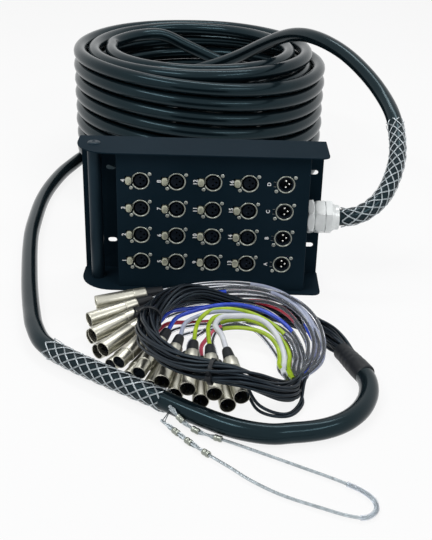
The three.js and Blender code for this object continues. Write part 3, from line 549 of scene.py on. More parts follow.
def inner_layers():
    """Down the inner layer and up the middle one."""
    line = []
    for step in range(round((INNER_END - INNER_START) * INNER_STEPS) + 1):
        turns = INNER_START + step / INNER_STEPS
        whole = math.floor(turns)
        share = turns - whole
        row = smooth(*ROW_STEP, share)
        if turns < 0:
            begun = smooth(INNER_START, 0, turns)
            radius = lerp(START_RADIUS, INNER_RADIUS, begun)
            height = lerp(START_HEIGHT, COIL_TOP - FIRST_ROW * COIL_PITCH, begun)
        elif whole < DOWN_TURNS:
            out = smooth(*LAYER_STEP, share) if whole == DOWN_TURNS - 1 else 0
            radius = lerp(INNER_RADIUS, MIDDLE_RADIUS, out)
            height = COIL_TOP - (FIRST_ROW + whole + row) * COIL_PITCH
        else:
            radius = MIDDLE_RADIUS
            height = LIE + min(whole - DOWN_TURNS + row, LAST_ROW) * COIL_PITCH
        line.append(wound(turns, radius, height))
    return line


def outer_layers():
    """The two top turns and the outer layer, down to the floor."""
    line = []
    for step in range(OUTER_TURNS * OUTER_STEPS + 1):
        turns = step / OUTER_STEPS
        whole = math.floor(turns)
        share = turns - whole
        layer = min(whole, 2)
        radius = lerp(TURN_RADII[layer], TURN_RADII[min(layer + 1, 2)], smooth(*LAYER_STEP, share))
        rows = 0 if whole < 2 else whole - 2 + smooth(*ROW_STEP, share)
        held = 1 - smooth(WOBBLE_ENDS, OUTER_TURNS, turns)
        line.append(wound(turns, radius, COIL_TOP - rows * COIL_PITCH, WOBBLE * held))
    return line


def multicore_line():
    into = through(route(BOX_ROUTE), CABLE_SPACING)
    knots = [*into[::4], *inner_layers()[3:], *route(CROSSING), *outer_layers(), *route(FAN_ROUTE)]
    return through(knots, CABLE_SPACING)


cable_line = multicore_line()
cable = curve_piece(
    "multicore_cable", [cable_line], CABLE_RADIUS * MM, JACKET, 6,
    ("multicore_box_end", "multicore_coil", "multicore_coil_core", "multicore_fan_end"),
)


# Wire mesh grips: from and to, in metres along the cable's two stretches
BOX_GRIP, FAN_GRIP = (0.0225, 0.2275), (0.728, 0.900)
GRIP_FLARE, GRIP_FLARE_LENGTH = 1.2, 0.012


def grip(node, line, strands=6, lead=0.1, wire=0.36, gap=0.35, apart=0.045, lift=0.4):
    """Pairs of wires that cross each other over and under round the cable, and flare at both ends."""
    spine = frames_of(line)
    total = length_of(line)
    lines = []
    for way, strand, twin in itertools.product((1, -1), range(strands), (-1, 1)):
        made = []
        for index, there in enumerate(spine):
            reach = total * index / (len(spine) - 1)
            turn = way * TURN * reach / lead + TURN * strand / strands + twin * apart
            weave = lift * way * math.cos(strands * TURN * reach / lead)
            opening = GRIP_FLARE * (1 - smooth(0, GRIP_FLARE_LENGTH, min(reach, total - reach)))
            made.append(off_line(there, turn, (CABLE_RADIUS + wire + gap + weave + opening) * MM))
        lines.append(made)
    return curve_piece(node + "_wires", lines, wire * MM, WIRE, 2, (node,))


fan_line = through([outer_layers()[-1], *route(FAN_ROUTE)])
box_line = through(route(BOX_ROUTE))
box_grip = grip("cable_grip_box_end", part_of(box_line, *BOX_GRIP))
fan_grip = grip("cable_grip_fan_end", part_of(fan_line, *FAN_GRIP))

# The pulling eye: its ferrules and sleeve by their share of its length, its wire's doubled ends in metres
EYE_ROUTE = [
    (-22, -334.5, 21), (-14, -341.2, 15), (-4, -348.4, 8.8), (8, -356, 5.5), (42, -371, 3.7),
    (76, -389, 3.7), (111, -408, 3.7), (149, -429, 3.7), (169, -443, 3.7), (178, -456, 3.7),
    (178, -470, 3.7), (168, -480, 3.7), (154, -479, 3.7), (126, -468, 3.7), (90, -451, 3.7),
    (62, -431, 3.7), (43, -413, 3.7), (21, -393, 3.7), (0, -372, 3.7), (-17, -353, 4.4), (-30, -339, 5.5),
]
EYE_WIRE = 1.7
EYE_SPACING = 0.0015
FERRULE_SHARES = (0.035, 0.075, 0.125, 0.865, 0.915, 0.955)
EYE_SLEEVE, EYE_SLEEVE_RADIUS = (0.40, 0.53), 2.8
END_WIRE, END_ON_GRIP, END_BESIDE = 0.55, 1.4, 2.2
END_GRIP, END_LEG = (0.884, 0.902), (0.001, 0.066)


def rope_mesh(name, line, radius, strands=6, lead=0.014, sides=6, strand_share=0.36):
    """A wire rope: strands laid round a straight one."""
    points, faces = [], []
    spine = frames_of(line)
    total = length_of(line)
    thin = radius * strand_share
    for strand in range(strands + 1):
        base = len(points)
        for index, there in enumerate(spine):
            reach = total * index / (len(spine) - 1)
            turn = TURN * (reach / lead + strand / strands)
            out = 0 if strand == strands else (radius - thin) * MM
            middle = (off_line(there, turn, out), *there[1:])
            points.extend(off_line(middle, TURN * step / sides, thin * MM) for step in range(sides))
        for ring in range(len(spine) - 1):
            faces.extend(band(base + ring * sides, base + (ring + 1) * sides, sides))
        faces.append(tuple(range(base, base + sides)))
        faces.append(tuple(range(len(points) - sides, len(points))))
    return mesh_from(name, points, faces, 60)


eye_line = through(route(EYE_ROUTE), EYE_SPACING)
eye_length = length_of(eye_line)
eye = finish_piece(
    "pulling_eye_rope", rope_mesh("pulling_eye_rope", eye_line, EYE_WIRE), None,
    ("pulling_eye",), WIRE,
)
ferrule_mesh = turned("ferrule", rounded([
    (1.9, -4.2), (3.2, -4.4), (3.5, -2), (3.1, 0), (3.5, 2), (3.2, 4.4), (1.9, 4.2),
], 0.5), 20)
ferrule_mesh.materials.append(BRIGHT)
for number, share in enumerate(FERRULE_SHARES, 1):
    around = part_of(eye_line, share * eye_length - SPACING, share * eye_length + SPACING)
    point, way, _, _ = frames_of(around)[1]
    finish_piece(
        f"pulling_eye_ferrule_{number}", ferrule_mesh, along_matrix(point, way),
    )


def wire_end(turn, far, reach):
    """A doubled end of the eye's wire, from on the grip to beside one of the eye's legs."""
    way = 1 if far == 0 else -1
    axis = frames_of(part_of(fan_line, *END_GRIP))
    in_grip = [
        off_line(there, TURN * turn, (CABLE_RADIUS + END_ON_GRIP) * MM) for there in (axis[0], axis[-1])
    ]
    leg = frames_of(part_of(eye_line, *sorted(far + way * end for end in END_LEG)))[::way]
    beside = [off_line(there, k * 0.5, reach * MM) for k, there in enumerate(leg)]
    return through([*in_grip, *beside[1:]], 0.002)


ends = [
    wire_end(0.2, 0, -END_BESIDE), wire_end(0.27, 0, END_BESIDE),
    wire_end(0.36, eye_length, -END_BESIDE), wire_end(0.44, eye_length, END_BESIDE),
]
curve_piece("pulling_eye_ends", ends, END_WIRE * MM, WIRE, 2)
curve_piece(
    "pulling_eye_sleeve", [part_of(eye_line, *(share * eye_length for share in EYE_SLEEVE))],
    EYE_SLEEVE_RADIUS * MM, CLEAR, 4,
)

# Fan-out boot
BOOT_TIP = mm(172.9, -196.1, 11.6)
JACKET_END = mm(*FAN_ROUTE[-1])
boot_way = (BOOT_TIP - JACKET_END).normalized()
boot_profile = rounded([
    (0, -14), (11.3, -14), (12.2, -12), (12.3, 4), (11.8, 10), (12.0, 14), (11.5, 18), (11.7, 22), (11.1, 26),
    (11.3, 30), (10.8, 34), (11.0, 44), (10.2, 45.4), (9.4, 44), (0, 43),
], 0.8)
boot = finish_piece(
    "fan_out_boot_piece", turned("fan_out_boot_piece", boot_profile, 40),
    along_matrix(JACKET_END, boot_way), ("fan_out_boot",), RUBBER,
)


# Plugs: a fan of them in two layers, each a pitch along the fan's curve from the one before
FAN_X, FAN_Y = 5, -72
FAN_NEAR, FAN_FAR = 52, 184
FAN_START, FAN_PITCH = 186, 10.35
PLUG_SHELL = 65
PLUG_BOOT = 22
PLUG_LIE = 9.7
UPPER_REAR, UPPER_FRONT = 17.2, 12
TAIL_COUNT = 20


def plug_places():
    """Where each plug's shell has its back and its front."""
    places = []
    angle = math.radians(FAN_START)
    centre = Vector((FAN_X, FAN_Y, 0))
    for index in range(TAIL_COUNT):
        back = FAN_NEAR + (FAN_FAR - FAN_NEAR) * (index / (TAIL_COUNT - 1)) ** 0.6
        upper = index % 2
        ray = Vector((math.cos(angle), math.sin(angle), 0))
        rear = centre + ray * back
        front = centre + ray * (back + PLUG_SHELL)
        rear.z = PLUG_LIE + upper * UPPER_REAR
        front.z = PLUG_LIE + upper * UPPER_FRONT
        places.append((rear * MM, front * MM))
        angle += FAN_PITCH / back
    return places


CONTACT_CIRCLE = 4.2
CONTACTS = [
    (CONTACT_CIRCLE * math.sin(math.radians(a)), CONTACT_CIRCLE * math.cos(math.radians(a)))
    for a in (0, 90, 180)
]


def at_contacts(height=0):
    return [Matrix.Translation(Vector((x, height, z)) * MM) for x, z in CONTACTS]


def disc_with_holes(name, radius, hole_radius, face, depth, rim, hole_depth=7):
    """A round post on local Y with a chamfered rim, and the contacts' holes in its face."""
    shape = bmesh.new()
    circles = [(0, 0, radius - rim, 40), *[(x, z, hole_radius, 14) for x, z in CONTACTS]]
    rings, edges = [], []
    for x, z, reach, count in circles:
        ring = []
        for k in range(count):
            angle = TURN * k / count
            place = Vector((x + reach * math.cos(angle), face, z + reach * math.sin(angle))) * MM
            ring.append(shape.verts.new(place))
        edges.extend([shape.edges.new((ring[k], ring[(k + 1) % count])) for k in range(count)])
        rings.append(ring)
    bmesh.ops.triangle_fill(shape, edges=edges, use_beauty=True)
    outward = radius / (radius - rim)
    for number, (ring, (x, z, _, count)) in enumerate(zip(rings, circles)):
        rows = [ring]
        for grow, down in [(1, hole_depth)] if number else [(outward, rim), (outward, depth)]:
            rows.append([
                shape.verts.new((
                    x * MM + (corner.co.x - x * MM) * grow, (face + down) * MM,
                    z * MM + (corner.co.z - z * MM) * grow,
                )) for corner in ring
            ])
        for low, high in zip(rows, rows[1:]):
            for k in range(count):
                after = (k + 1) % count
                shape.faces.new((low[k], low[after], high[after], high[k]))
        if number:
            shape.faces.new(rows[-1])
    mesh = bpy.data.meshes.new(name)
    bmesh.ops.recalc_face_normals(shape, faces=shape.faces)
    shape.to_mesh(mesh)
    shape.free()
    return shade(mesh)


SHELL_BACK = [
    (6.4, 1.0), (7.2, 0), (8.6, 0.2), (9.0, 1.4), (9.0, 15.6), (8.7, 15.9), (8.7, 16.7), (9.4, 17.1),
]
male_shell = turned("male_shell", rounded([
    *SHELL_BACK, (9.4, 64.2), (9.0, 65), (8.5, 65), (8.3, 64.2), (8.3, 46),
], 0.3))
female_shell = turned("female_shell", rounded([
    *SHELL_BACK, (9.4, 47.4), (8.9, 48.0), (8.1, 48.1), (8.1, 64.4), (7.8, 65), (7.2, 65), (7.1, 64),
], 0.3))
boot_mesh = turned("plug_boot", rounded([
    (2.5, -21.0), (4.6, -22), (5.6, -21.4), (6.0, -18), (6.7, -9), (7.3, -2), (7.5, 0.4), (6.4, 1.2), (6, 3),
], 0.7), 32)
male_cup = joined("male_cup", [
    turned("cup", [(8.35, 47), (8.35, 46), (0, 46)], 32),
    *[turned("pin_in", [(1.2, 46), (1.2, 60), (0.7, 61), (0, 61)], 10)] * 3,
], [None, *at_contacts()])
post_mesh = disc_with_holes("post", radius=7.15, hole_radius=1.4, face=-64.2, depth=12, rim=0.4)
female_face = joined("female_face", [post_mesh], [Matrix.Rotation(math.pi, 4, "X")])
for mesh, material in (
    (male_shell, NICKEL), (female_shell, NICKEL), (boot_mesh, RUBBER), (male_cup, INSERT),
    (female_face, INSERT),
):
    mesh.materials.append(material)


# Tails: once round in the ring, then in looms of four and in sleeves to the plugs
RING_X, RING_Y = 46, -214
RING_HALF_X, RING_HALF_Y = 100, 102
RING_LIE, RING_LIFT, RING_MIDDLE = 5, 38.5, 7.5
RING_LEAD, RING_LEAD_END = 26.2, 0.3
RING_TWIST, RING_TWIST_START = 1.4, 0.9
RING_OPEN, RIPPLE, RIPPLE_RATE = 0.9, 0.25, 1.7
RING_WANDER, RING_BOB = 4.6, 3
# Degrees round the ring, from the right by the back: its steps, where it rises and falls again, and
# where its strands open up, stray and go into their looms
RING_START, RING_END, RING_STEP = 12, 340, 13
RING_RISE, RING_FALL = (72, 130), (262, 318)
RING_OPENS, RING_STRAYS, RING_ENDS = (286, 326), (262, 340), (300, 346)
TAIL_RADIUS = 1.8
TAIL_SPACING = 0.004
IN_BOOT = 0.016
# In metres before the tip of the plug's boot
STRAIGHT_INTO_PLUG = (0.03, 0.008, -0.004, -IN_BOOT)
BOOT_ACROSS, BOOT_PITCH = Vector((0.93, 0.36, 0)), 3.4
STRAND_PITCH = 4.4
LOOM_OFFSETS = (0, 11.4, 20.65, 32.05, 43.45)
LOOM_LEAVES = (14, 8, 110, 110, 110)
LOOM_LIE = (21.85, 21.85, 0.3, 0.3, 0.3)
LOOM_SIDE, LOOM_HEIGHT = (-2.9, 2.9, -2.9, 2.9), (2.9, 2.9, 8.6, 8.6)
LOOM_START, LOOM_STEPS = -14, 9
LOOM_HUMP, LOOM_DRIFT, LOOM_LOWEST = 12, 9, 3.2
# How far two of the tails stray from the ring, by their index, and within how much of it they lie low
LOOSE, LOOSE_DROP = {2: 24, 9: 34}, 12
LOOSE_LIE, LOOSE_LOWEST, LOWEST = 2.4, 1.6, 0.3
PACK_ORDER = [7, 8, 2, 9, 18, 10, 3, 1, 0, 11, 12, 4, 5, 13, 6, 17, 14, 15, 16, 19]
LOOM_NODES = ("tails_1_4", "tails_5_8", "tails_a_d", "tails_9_12", "tails_13_16")
FEMALE_GROUP = 2
SLEEVE_RADIUS, WHITE_SLEEVE_RADIUS = 2.6, 3.4
SLEEVED_SHARE = 0.58
# In metres: how far before the ring's end the sleeves start, give or take, and end in the boot
SLEEVE_BEFORE, SLEEVE_UNEVEN, SLEEVE_IN_BOOT = 0.02, 0.016, 0.014
SLEEVE_COLOURS = [colours.split() for colours in (
    "clear clear blue", "clear milky milky", "clear", "clear clear", "clear red clear", "clear milky",
    "clear", "blue clear clear", "red clear clear", "blue clear clear", "clear", "blue blue clear",
    "clear clear red", "milky clear", "clear lime lime", "lime lime clear", "pink clear clear",
    "lime lime milky", "clear lime lime", "white white white",
)]


def packed():
    """Twenty places across the ring's bundle: a middle, two circles round it and one outside."""
    places = [(0.0, 0.0)]
    for circle in (1, 2):
        for k in range(6 * circle):
            angle = TURN * k / (6 * circle)
            places.append((circle * math.cos(angle), circle * math.sin(angle)))
    return [*places, (2.75, 0.6)]


def ring_base(degrees):
    """The ring's lowest height: near the floor at the right, over the looms and plugs at the left."""
    degrees = degrees % 360
    return RING_LIE + RING_LIFT * min(smooth(*RING_RISE, degrees), 1 - smooth(*RING_FALL, degrees))


def on_ring(degrees, offset, height):
    angle = math.radians(degrees)
    x = RING_X + (RING_HALF_X + offset) * math.cos(angle)
    y = RING_Y + (RING_HALF_Y + offset) * math.sin(angle)
    return mm(x, y, height)


def ring_stretch(index, u, v, inset, loom_height):
    """A tail's way round the ring, from its place in the bundle to its place in its loom."""
    made = []
    for degrees in range(RING_START, RING_END, RING_STEP):
        share = (degrees - RING_START) / 360
        lead = RING_LEAD * (1 - smooth(0, RING_LEAD_END, share))
        ripple = RIPPLE * abs(math.sin(math.radians(degrees * RIPPLE_RATE)))
        open_up = 1.0 + RING_OPEN * smooth(*RING_OPENS, degrees) + ripple
        turn = RING_TWIST_START + RING_TWIST * TURN * share
        side = u * math.cos(turn) - v * math.sin(turn)
        rise = u * math.sin(turn) + v * math.cos(turn)
        wander = noise.noise(Vector((degrees * 0.03, index * 3.7, 2.0))) * RING_WANDER
        bob = noise.noise(Vector((degrees * 0.03, index * 3.7, 12.0))) * RING_BOB
        stray = LOOSE.get(index, 0) * math.sin(math.pi * smooth(*RING_STRAYS, degrees)) ** 2
        into = smooth(*RING_ENDS, degrees)
        offset = lerp(lead + side * STRAND_PITCH * open_up + wander, -inset, into) + stray
        above = lerp(RING_MIDDLE + rise * STRAND_PITCH + bob, loom_height - RING_LIE, into)
        height = lerp(ring_base(degrees) + above, TAIL_RADIUS + LOOSE_LIE, min(1, stray / LOOSE_DROP))
        made.append(on_ring(degrees, offset, max(height, TAIL_RADIUS + (LOOSE_LOWEST if stray else LOWEST))))
    return made


def loom_stretch(index, goal, inset, loom_height):
    """A tail's way along its loom, which leaves the ring's inner edge for the plug."""
    rel_x = (goal.x / MM - RING_X) / RING_HALF_X
    rel_y = (goal.y / MM - RING_Y) / RING_HALF_Y
    end_size = math.hypot(rel_x, rel_y)
    end_angle = math.degrees(math.atan2(rel_y, rel_x)) % 360
    made = []
    for step in range(LOOM_STEPS):
        share = step / LOOM_STEPS
        degrees = lerp(LOOM_START, end_angle, share)
        leaving = smooth(LOOM_LEAVES[index // 4], end_angle, degrees)
        size = lerp(1 - inset / RING_HALF_X, end_size, leaving)
        arch = math.sin(math.pi * share)
        hump = LOOM_HUMP * arch ** 2
        drift = noise.noise(Vector((share * 2.2, index * 5.3, 9.0))) * LOOM_DRIFT * arch
        height = lerp(loom_height, goal.z / MM, smooth(0, 1, share)) + hump + drift * 0.4
        angle = math.radians(degrees)
        x = RING_X + (size * RING_HALF_X + drift) * math.cos(angle)
        y = RING_Y + (size * RING_HALF_Y + drift) * math.sin(angle)
        made.append(mm(x, y, max(height, LOOM_LOWEST)))
    return made


def tail_line(index, rear, front):
    """From the fan-out boot into the plug's boot, and the point where the tail leaves the ring."""
    u, v = packed()[PACK_ORDER[index]]
    group, member = divmod(index, 4)
    inset = LOOM_OFFSETS[group] - LOOM_SIDE[member]
    loom_height = LOOM_LIE[group] + LOOM_HEIGHT[member]
    start = BOOT_TIP - boot_way * IN_BOOT + (BOOT_ACROSS * u + UP * v) * BOOT_PITCH * MM
    ring = ring_stretch(index, u, v, inset, loom_height)
    way = (front - rear).normalized()
    tip = rear - way * PLUG_BOOT * MM
    last = [tip - way * reach for reach in STRAIGHT_INTO_PLUG]
    line = through([start, *ring, *loom_stretch(index, last[0], inset, loom_height), *last], TAIL_SPACING)
    return line, min(range(len(line)), key=lambda k: (line[k] - ring[-1]).length)


def make_tail(index, rear, front):
    """A tail with its sleeves and its plug."""
    line, junction = tail_line(index, rear, front)
    label = f"{index + 1:02d}"
    group = index // 4
    female = group == FEMALE_GROUP
    place = along_matrix(rear, (front - rear).normalized())
    radii = [lerp(1.0, SLEEVED_SHARE, smooth(-3, 6, k - junction)) for k in range(len(line))]
    stands = [LOOM_NODES[group]]
    if index == 0:
        stands.append("tails_ring")
    tail = curve_piece(f"tail_{label}", [line], TAIL_RADIUS * MM, TAIL, 3, stands, radii)
    shell, inner = (female_shell, female_face) if female else (male_shell, male_cup)
    pieces = [
        finish_piece(f"plug_{label}_shell", shell, place),
        finish_piece(f"plug_{label}_boot", boot_mesh, place),
        finish_piece(f"plug_{label}_insert", inner, place),
    ]
    colours = SLEEVE_COLOURS[index]
    last = length_of(line) - SLEEVE_IN_BOOT
    uneven = SLEEVE_UNEVEN * noise.noise(Vector((index * 2.3, 4.0, 1.0)))
    first = length_of(line[:junction + 1]) - SLEEVE_BEFORE + uneven
    for number, colour in enumerate(reversed(colours)):
        start, end = (lerp(first, last, k / len(colours)) for k in (number, number + 1))
        radius = WHITE_SLEEVE_RADIUS if colour == "white" else SLEEVE_RADIUS
        pieces.append(curve_piece(
            f"tail_{label}_sleeve_{number + 1}", [part_of(line, start, end, TAIL_SPACING)], radius * MM,
            SLEEVES[colour], 3,
        ))


for index, (rear, front) in enumerate(plug_places()):
    make_tail(index, rear, front)


# Cable ties
TIE_RADIUS, TIE_THICK, TIE_HALF = 13.2, 1.2, 2.2
TIE_HEAD, TIE_HEAD_OUT, TIE_HEAD_EASE = (6, 6, 5), 2.4, 0.6
TIE_END = [
    (-1, -2.1, -1), (-1, 2.1, -1), (0, 2.1, -1), (0, -2.1, -1), (2.5, -1.9, 9), (2.5, 1.9, 9), (3.3, 1.9, 9),
    (3.3, -1.9, 9),
]
TIE_END_FACES = [(0, 1, 2, 3), (4, 5, 6, 7), (0, 1, 5, 4), (1, 2, 6, 5), (2, 3, 7, 6), (3, 0, 4, 7)]


def make_tie(node, degrees):
    """A band round the ring's bundle, with its head and the cut end of its strap."""
    middle = on_ring(degrees, 0, ring_base(degrees) + RING_MIDDLE)
    way = (on_ring(degrees + 2, 0, 0) - on_ring(degrees - 2, 0, 0)).normalized()
    outside = TIE_RADIUS + TIE_THICK
    loop = turned(node + "_band", rounded([
        (TIE_RADIUS, -TIE_HALF), (outside, -TIE_HALF), (outside, TIE_HALF), (TIE_RADIUS, TIE_HALF),
        (TIE_RADIUS, -TIE_HALF),
    ], 0.2), 40)
    shape = bmesh.new()
    bmesh.ops.create_cube(shape, size=1)
    bmesh.ops.scale(shape, vec=mm(*TIE_HEAD), verts=shape.verts)
    ease = TIE_HEAD_EASE * MM
    bmesh.ops.bevel(shape, geom=shape.edges[:], offset=ease, segments=2, affect="EDGES", profile=0.5)
    head = bpy.data.meshes.new("tie_head")
    shape.to_mesh(head)
    shape.free()
    end = mesh_from("tie_end", route(TIE_END), TIE_END_FACES)
    side = Matrix.Translation(mm(TIE_RADIUS + TIE_HEAD_OUT, 0, 2))
    both = joined(node + "_piece", [loop, head, end], [None, side, side])
    finish_piece(node + "_piece", both, along_matrix(middle, way), (node,), RUBBER)


make_tie("cable_tie_left", 172)
make_tie("cable_tie_front", 256)


# The box
refined("chassis", COAT, 0.35)
refined("connector_cover", COAT, 0.3)
HANDLE_X, HANDLE_Y = -140.15, 4
upright = Matrix.Translation(mm(HANDLE_X, HANDLE_Y, 0)) @ Matrix.Rotation(math.pi / 2, 4, "X")
tube_mesh = turned("handle_tube_piece", rounded([
    (7.5, 1.8), (8.6, 1.8), (9, 2.2), (9, 190.8), (8.6, 191.2), (7.5, 191.2), (7.5, 1.8),
], 0.3), 64)
finish_piece("handle_tube_piece", tube_mesh, upright, ("handle_tube",), HANDLE)
head_mesh = turned("handle_screw_top_piece", rounded([
    (0, 194.3), (2.0, 193.8), (2.3, 194.9), (5.5, 194.7), (7.6, 194.1), (8.5, 193.3), (8.5, 193.0),
    (4, 193.0), (4, 182.2), (0, 182.2),
]))
finish_piece("handle_screw_top_piece", head_mesh, upright, ("handle_screw_top",), HANDLE)
refined("handle_screw_bottom", COAT, 0.2)


# Panel connectors: their grid, the ring's notch at the latch, the tab's rows of half sizes and height
PANEL_Y = -25
GRID_X, GRID_Z = 15, 96.5
PITCH_X, PITCH_Z = 46.6, 37.7
COLUMNS, ROWS = 5, 4
NOTCH_HALF_ANGLE, NOTCH_DEPTH = 26, 6
TAB_X = -15.3
TAB_ROWS = ((1.9, 3.0, -2.5), (3.2, 4.5, -2.4), (3.9, 5.3, -1.95), (4.1, 5.6, -1.2), (4.1, 5.6, 3.5))
SLOT_X, SLOT_HALF = (-15.1, -13.1), 3.0
RIM_X, RIM_WIDE = (-15.6, -12.6), 0.5
SCREW_PLACES = {"upper": (12, 9.5), "lower": (-12, -9.5)}
NUMBER_SIZE, LETTER_SIZE = 7.6, 6.7
NUMBER_X, LETTER_X = -22.3, -21.2
PRINT_SPREAD, PRINT_THICK, PRINT_OUT = 0.15, 0.04, 0.05
READ_UPWARDS = Matrix(((0, -1, 0), (0, 0, -1), (1, 0, 0))).to_4x4()


def tab_outline(half_x, half_z, height, count=40, squareness=0.78):
    """A rounded tab's outline beside a socket."""
    made = []
    for k in range(count):
        c, d = math.cos(TURN * k / count), math.sin(TURN * k / count)
        x = TAB_X + half_x * math.copysign(abs(c) ** squareness, c)
        made.append(mm(x, height, half_z * math.copysign(abs(d) ** squareness, d)))
    return made


def bar(name, near_far, low, high, front, back=0.4):
    """A flat bar on the panel, from its front face to just behind the panel's."""
    near, far = near_far
    return stacked(name, [
        route([(near, y, low), (far, y, low), (far, y, high), (near, y, high)]) for y in (front, back)
    ])


ring_mesh = turned("socket_ring", rounded([
    (9.8, 15), (9.8, 0.2), (10.3, -0.55), (11.1, -0.85), (11.75, -0.5), (11.95, 0.3), (11.9, 2), (11.9, 4),
    (9.8, 15),
]), 64)
notched_mesh = ring_mesh.copy()
notched_mesh.name = "socket_ring_notched"
for corner in notched_mesh.vertices:
    turn_off = abs(abs(math.degrees(math.atan2(corner.co.z, corner.co.x))) - 180)
    if turn_off < NOTCH_HALF_ANGLE:
        corner.co.y = max(corner.co.y, NOTCH_DEPTH * MM)
female_insert = joined("female_insert", [
    disc_with_holes("female_post", radius=7.8, hole_radius=1.45, face=1.0, depth=13, rim=0.45),
    turned("female_well", [(9.9, 0.6), (9.75, 0.8), (9.75, 14), (7.6, 14)]),
])
male_insert = turned("male_insert", rounded([
    (9.9, 0.5), (9.7, 0.2), (8.4, 0.3), (8.0, 0.8), (8.0, 14), (0, 14),
], 0.2))
pin_mesh = turned("pin", rounded([(0, 0), (1.2, 0.5), (1.2, 13), (0, 13)], 0.4), 14)
male_pins = joined("male_pins", [pin_mesh] * len(CONTACTS), at_contacts(1.5))
tab_mesh = stacked("latch_tab", [tab_outline(*row) for row in TAB_ROWS])
slot_mesh = bar("male_slot", SLOT_X, -SLOT_HALF, SLOT_HALF, -0.12)
slot_rims = joined("male_slot_rims", [
    bar("rim", RIM_X, low, low + RIM_WIDE, -0.16) for low in (-SLOT_HALF - RIM_WIDE, SLOT_HALF)
])
screw_mesh = turned("small_screw", rounded([
    (0, -0.35), (0.75, -0.4), (0.95, -1.1), (1.8, -1.0), (2.4, -0.55), (2.65, 0.1), (1.3, 0.1),
], 0.15), 32)
for mesh, material in (
    (ring_mesh, BRIGHT), (notched_mesh, BRIGHT), (female_insert, INSERT), (male_insert, INSERT),
    (male_pins, PIN), (screw_mesh, STEEL), (tab_mesh, TAB), (slot_mesh, INSERT), (slot_rims, STEEL),
):
    mesh.materials.append(material)
FEMALE_PARTS = [("ring", notched_mesh, "nickel"), ("insert", female_insert, "tail_jacket")]
MALE_PARTS = [
    ("ring", ring_mesh, "nickel"), ("insert", male_insert, "tail_jacket"), ("pins", male_pins, "nickel"),
    ("slot", slot_mesh, "tail_jacket"), ("slot_rims", slot_rims, "nickel"),
]


def make_label(name, text, size, x, z):
    """A printed number or letter that reads upwards."""
    words = bpy.data.curves.new(f"label_{name}", "FONT")
    words.body = text
    words.size = size * MM
    words.offset = PRINT_SPREAD * MM
    words.extrude = PRINT_THICK * MM
    words.align_x = "CENTER"
    words.align_y = "CENTER"
    place = Matrix.Translation(mm(x, PANEL_Y - PRINT_OUT, z)) @ READ_UPWARDS
    finish_piece(f"label_{name}", words, place, material=PRINT)


def make_socket(column, row):
    """A panel connector with its latch tab or keyed slot, its screws and its number or letter."""
    female = column < COLUMNS - 1
    number = column * ROWS + row + 1
    name = f"{number:02d}" if female else "abcd"[row]
    socket, latch = f"socket_{name}", f"latch_{name}"
    x = GRID_X + (column - 2) * PITCH_X
    z = GRID_Z + (row - 1.5) * PITCH_Z
    place = Matrix.Translation(mm(x, PANEL_Y, z))
    for part, mesh, slot in FEMALE_PARTS if female else MALE_PARTS:
        stands_for = (socket,) if part == "ring" else ()
        finish_piece(f"{socket}_{part}", mesh, place, stands_for)
    if female:
        finish_piece(f"{latch}_tab", tab_mesh, place, (latch,), body=latch)
    for side, (dx, dz) in SCREW_PLACES.items():
        spot = Matrix.Translation(mm(x + dx, PANEL_Y, z + dz))
        finish_piece(f"{socket}_screw_{side}", screw_mesh, spot)
    if female:
        make_label(name, str(number), NUMBER_SIZE, x + NUMBER_X, z)
    else:
        make_label(name, name.upper(), LETTER_SIZE, x + LETTER_X, z)


for column, row in itertools.product(range(COLUMNS), range(ROWS)):
    make_socket(column, row)


# The gland
GLAND_PLACE = (139.25, 5, 97.5)
GLAND_BORE, DOME_BORE = 11.7, 15.0
HEX_ACROSS, HEX_START, HEX_END = 41, 0.3, 10
DOME_ACROSS, DOME_START, DOME_END, BAND_START, BAND_END = 40, 10.6, 24.3, 24.4, 33.8
THREAD_OUT, THREAD_IN, THREAD_STEP, THREAD_ROWS = 18.4, 17.6, 0.55, 27


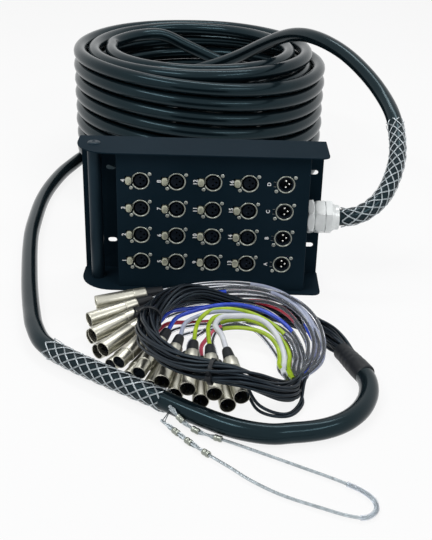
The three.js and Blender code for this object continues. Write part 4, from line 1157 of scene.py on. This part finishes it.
def hexagon(name, across, low, high, bore, ease_low=1.7, ease_high=1.7, segments=96):
    """A hexagon on local Y, with its corners chamfered at both ends."""
    half = across / 2
    insets = (0, 0.5, 1.1, 1.8, 2.6)
    heights = [*(low + inset for inset in insets), *(high - inset for inset in reversed(insets))]
    points, faces = [], []
    rows = [(low, True), *((height, False) for height in heights), (high, True)]
    for height, inside in rows:
        for step in range(segments):
            angle = TURN * step / segments
            flat = half / math.cos((angle + math.pi / 6) % (math.pi / 3) - math.pi / 6)
            limit = half - 0.3 + min((height - low) * ease_low, (high - height) * ease_high)
            reach = bore if inside else min(flat, limit)
            points.append((reach * math.cos(angle) * MM, height * MM, reach * math.sin(angle) * MM))
    for row in range(len(rows)):
        faces.extend(band(row * segments, (row + 1) % len(rows) * segments, segments))
    return mesh_from(name, points, faces, 24)


sideways = Matrix.Translation(mm(*GLAND_PLACE)) @ Matrix.Rotation(-math.pi / 2, 4, "Z")
thread_rows = [
    (THREAD_OUT if step % 2 else THREAD_IN, HEX_END + step * THREAD_STEP) for step in range(THREAD_ROWS)
]
body_mesh = joined("gland_body_piece", [
    hexagon("gland_hex", HEX_ACROSS, HEX_START, HEX_END, GLAND_BORE),
    turned("gland_thread", [(GLAND_BORE, HEX_END), *thread_rows, (GLAND_BORE, 24.4)]),
    turned("gland_root", [(GLAND_BORE, -9.5), (18.3, -9.5), (18.3, 0.4)]),
])
finish_piece("gland_body_piece", body_mesh, sideways, ("gland_body",), GLAND)
dome_mesh = joined("gland_dome_piece", [
    hexagon("dome_hex", DOME_ACROSS, DOME_START, DOME_END, DOME_BORE, ease_high=9),
    hexagon("dome_band", DOME_ACROSS, BAND_START, BAND_END, DOME_BORE, ease_low=9, ease_high=4.5),
    turned("dome_collar", rounded([
        (18.2, 32.2), (18.6, 33.6), (17.4, 36.6), (16.5, 37.6), (16.5, 42.0), (15.7, 43.1), (12.6, 43.1),
        (11.8, 42), (11.8, 30),
    ], 0.7), 64),
])
finish_piece("gland_dome_nut_piece", dome_mesh, sideways, ("gland_dome_nut",), GLAND)
refined("gland_locknut", GLAND, 0.4)

bpy.context.scene.view_settings.view_transform = "Standard"
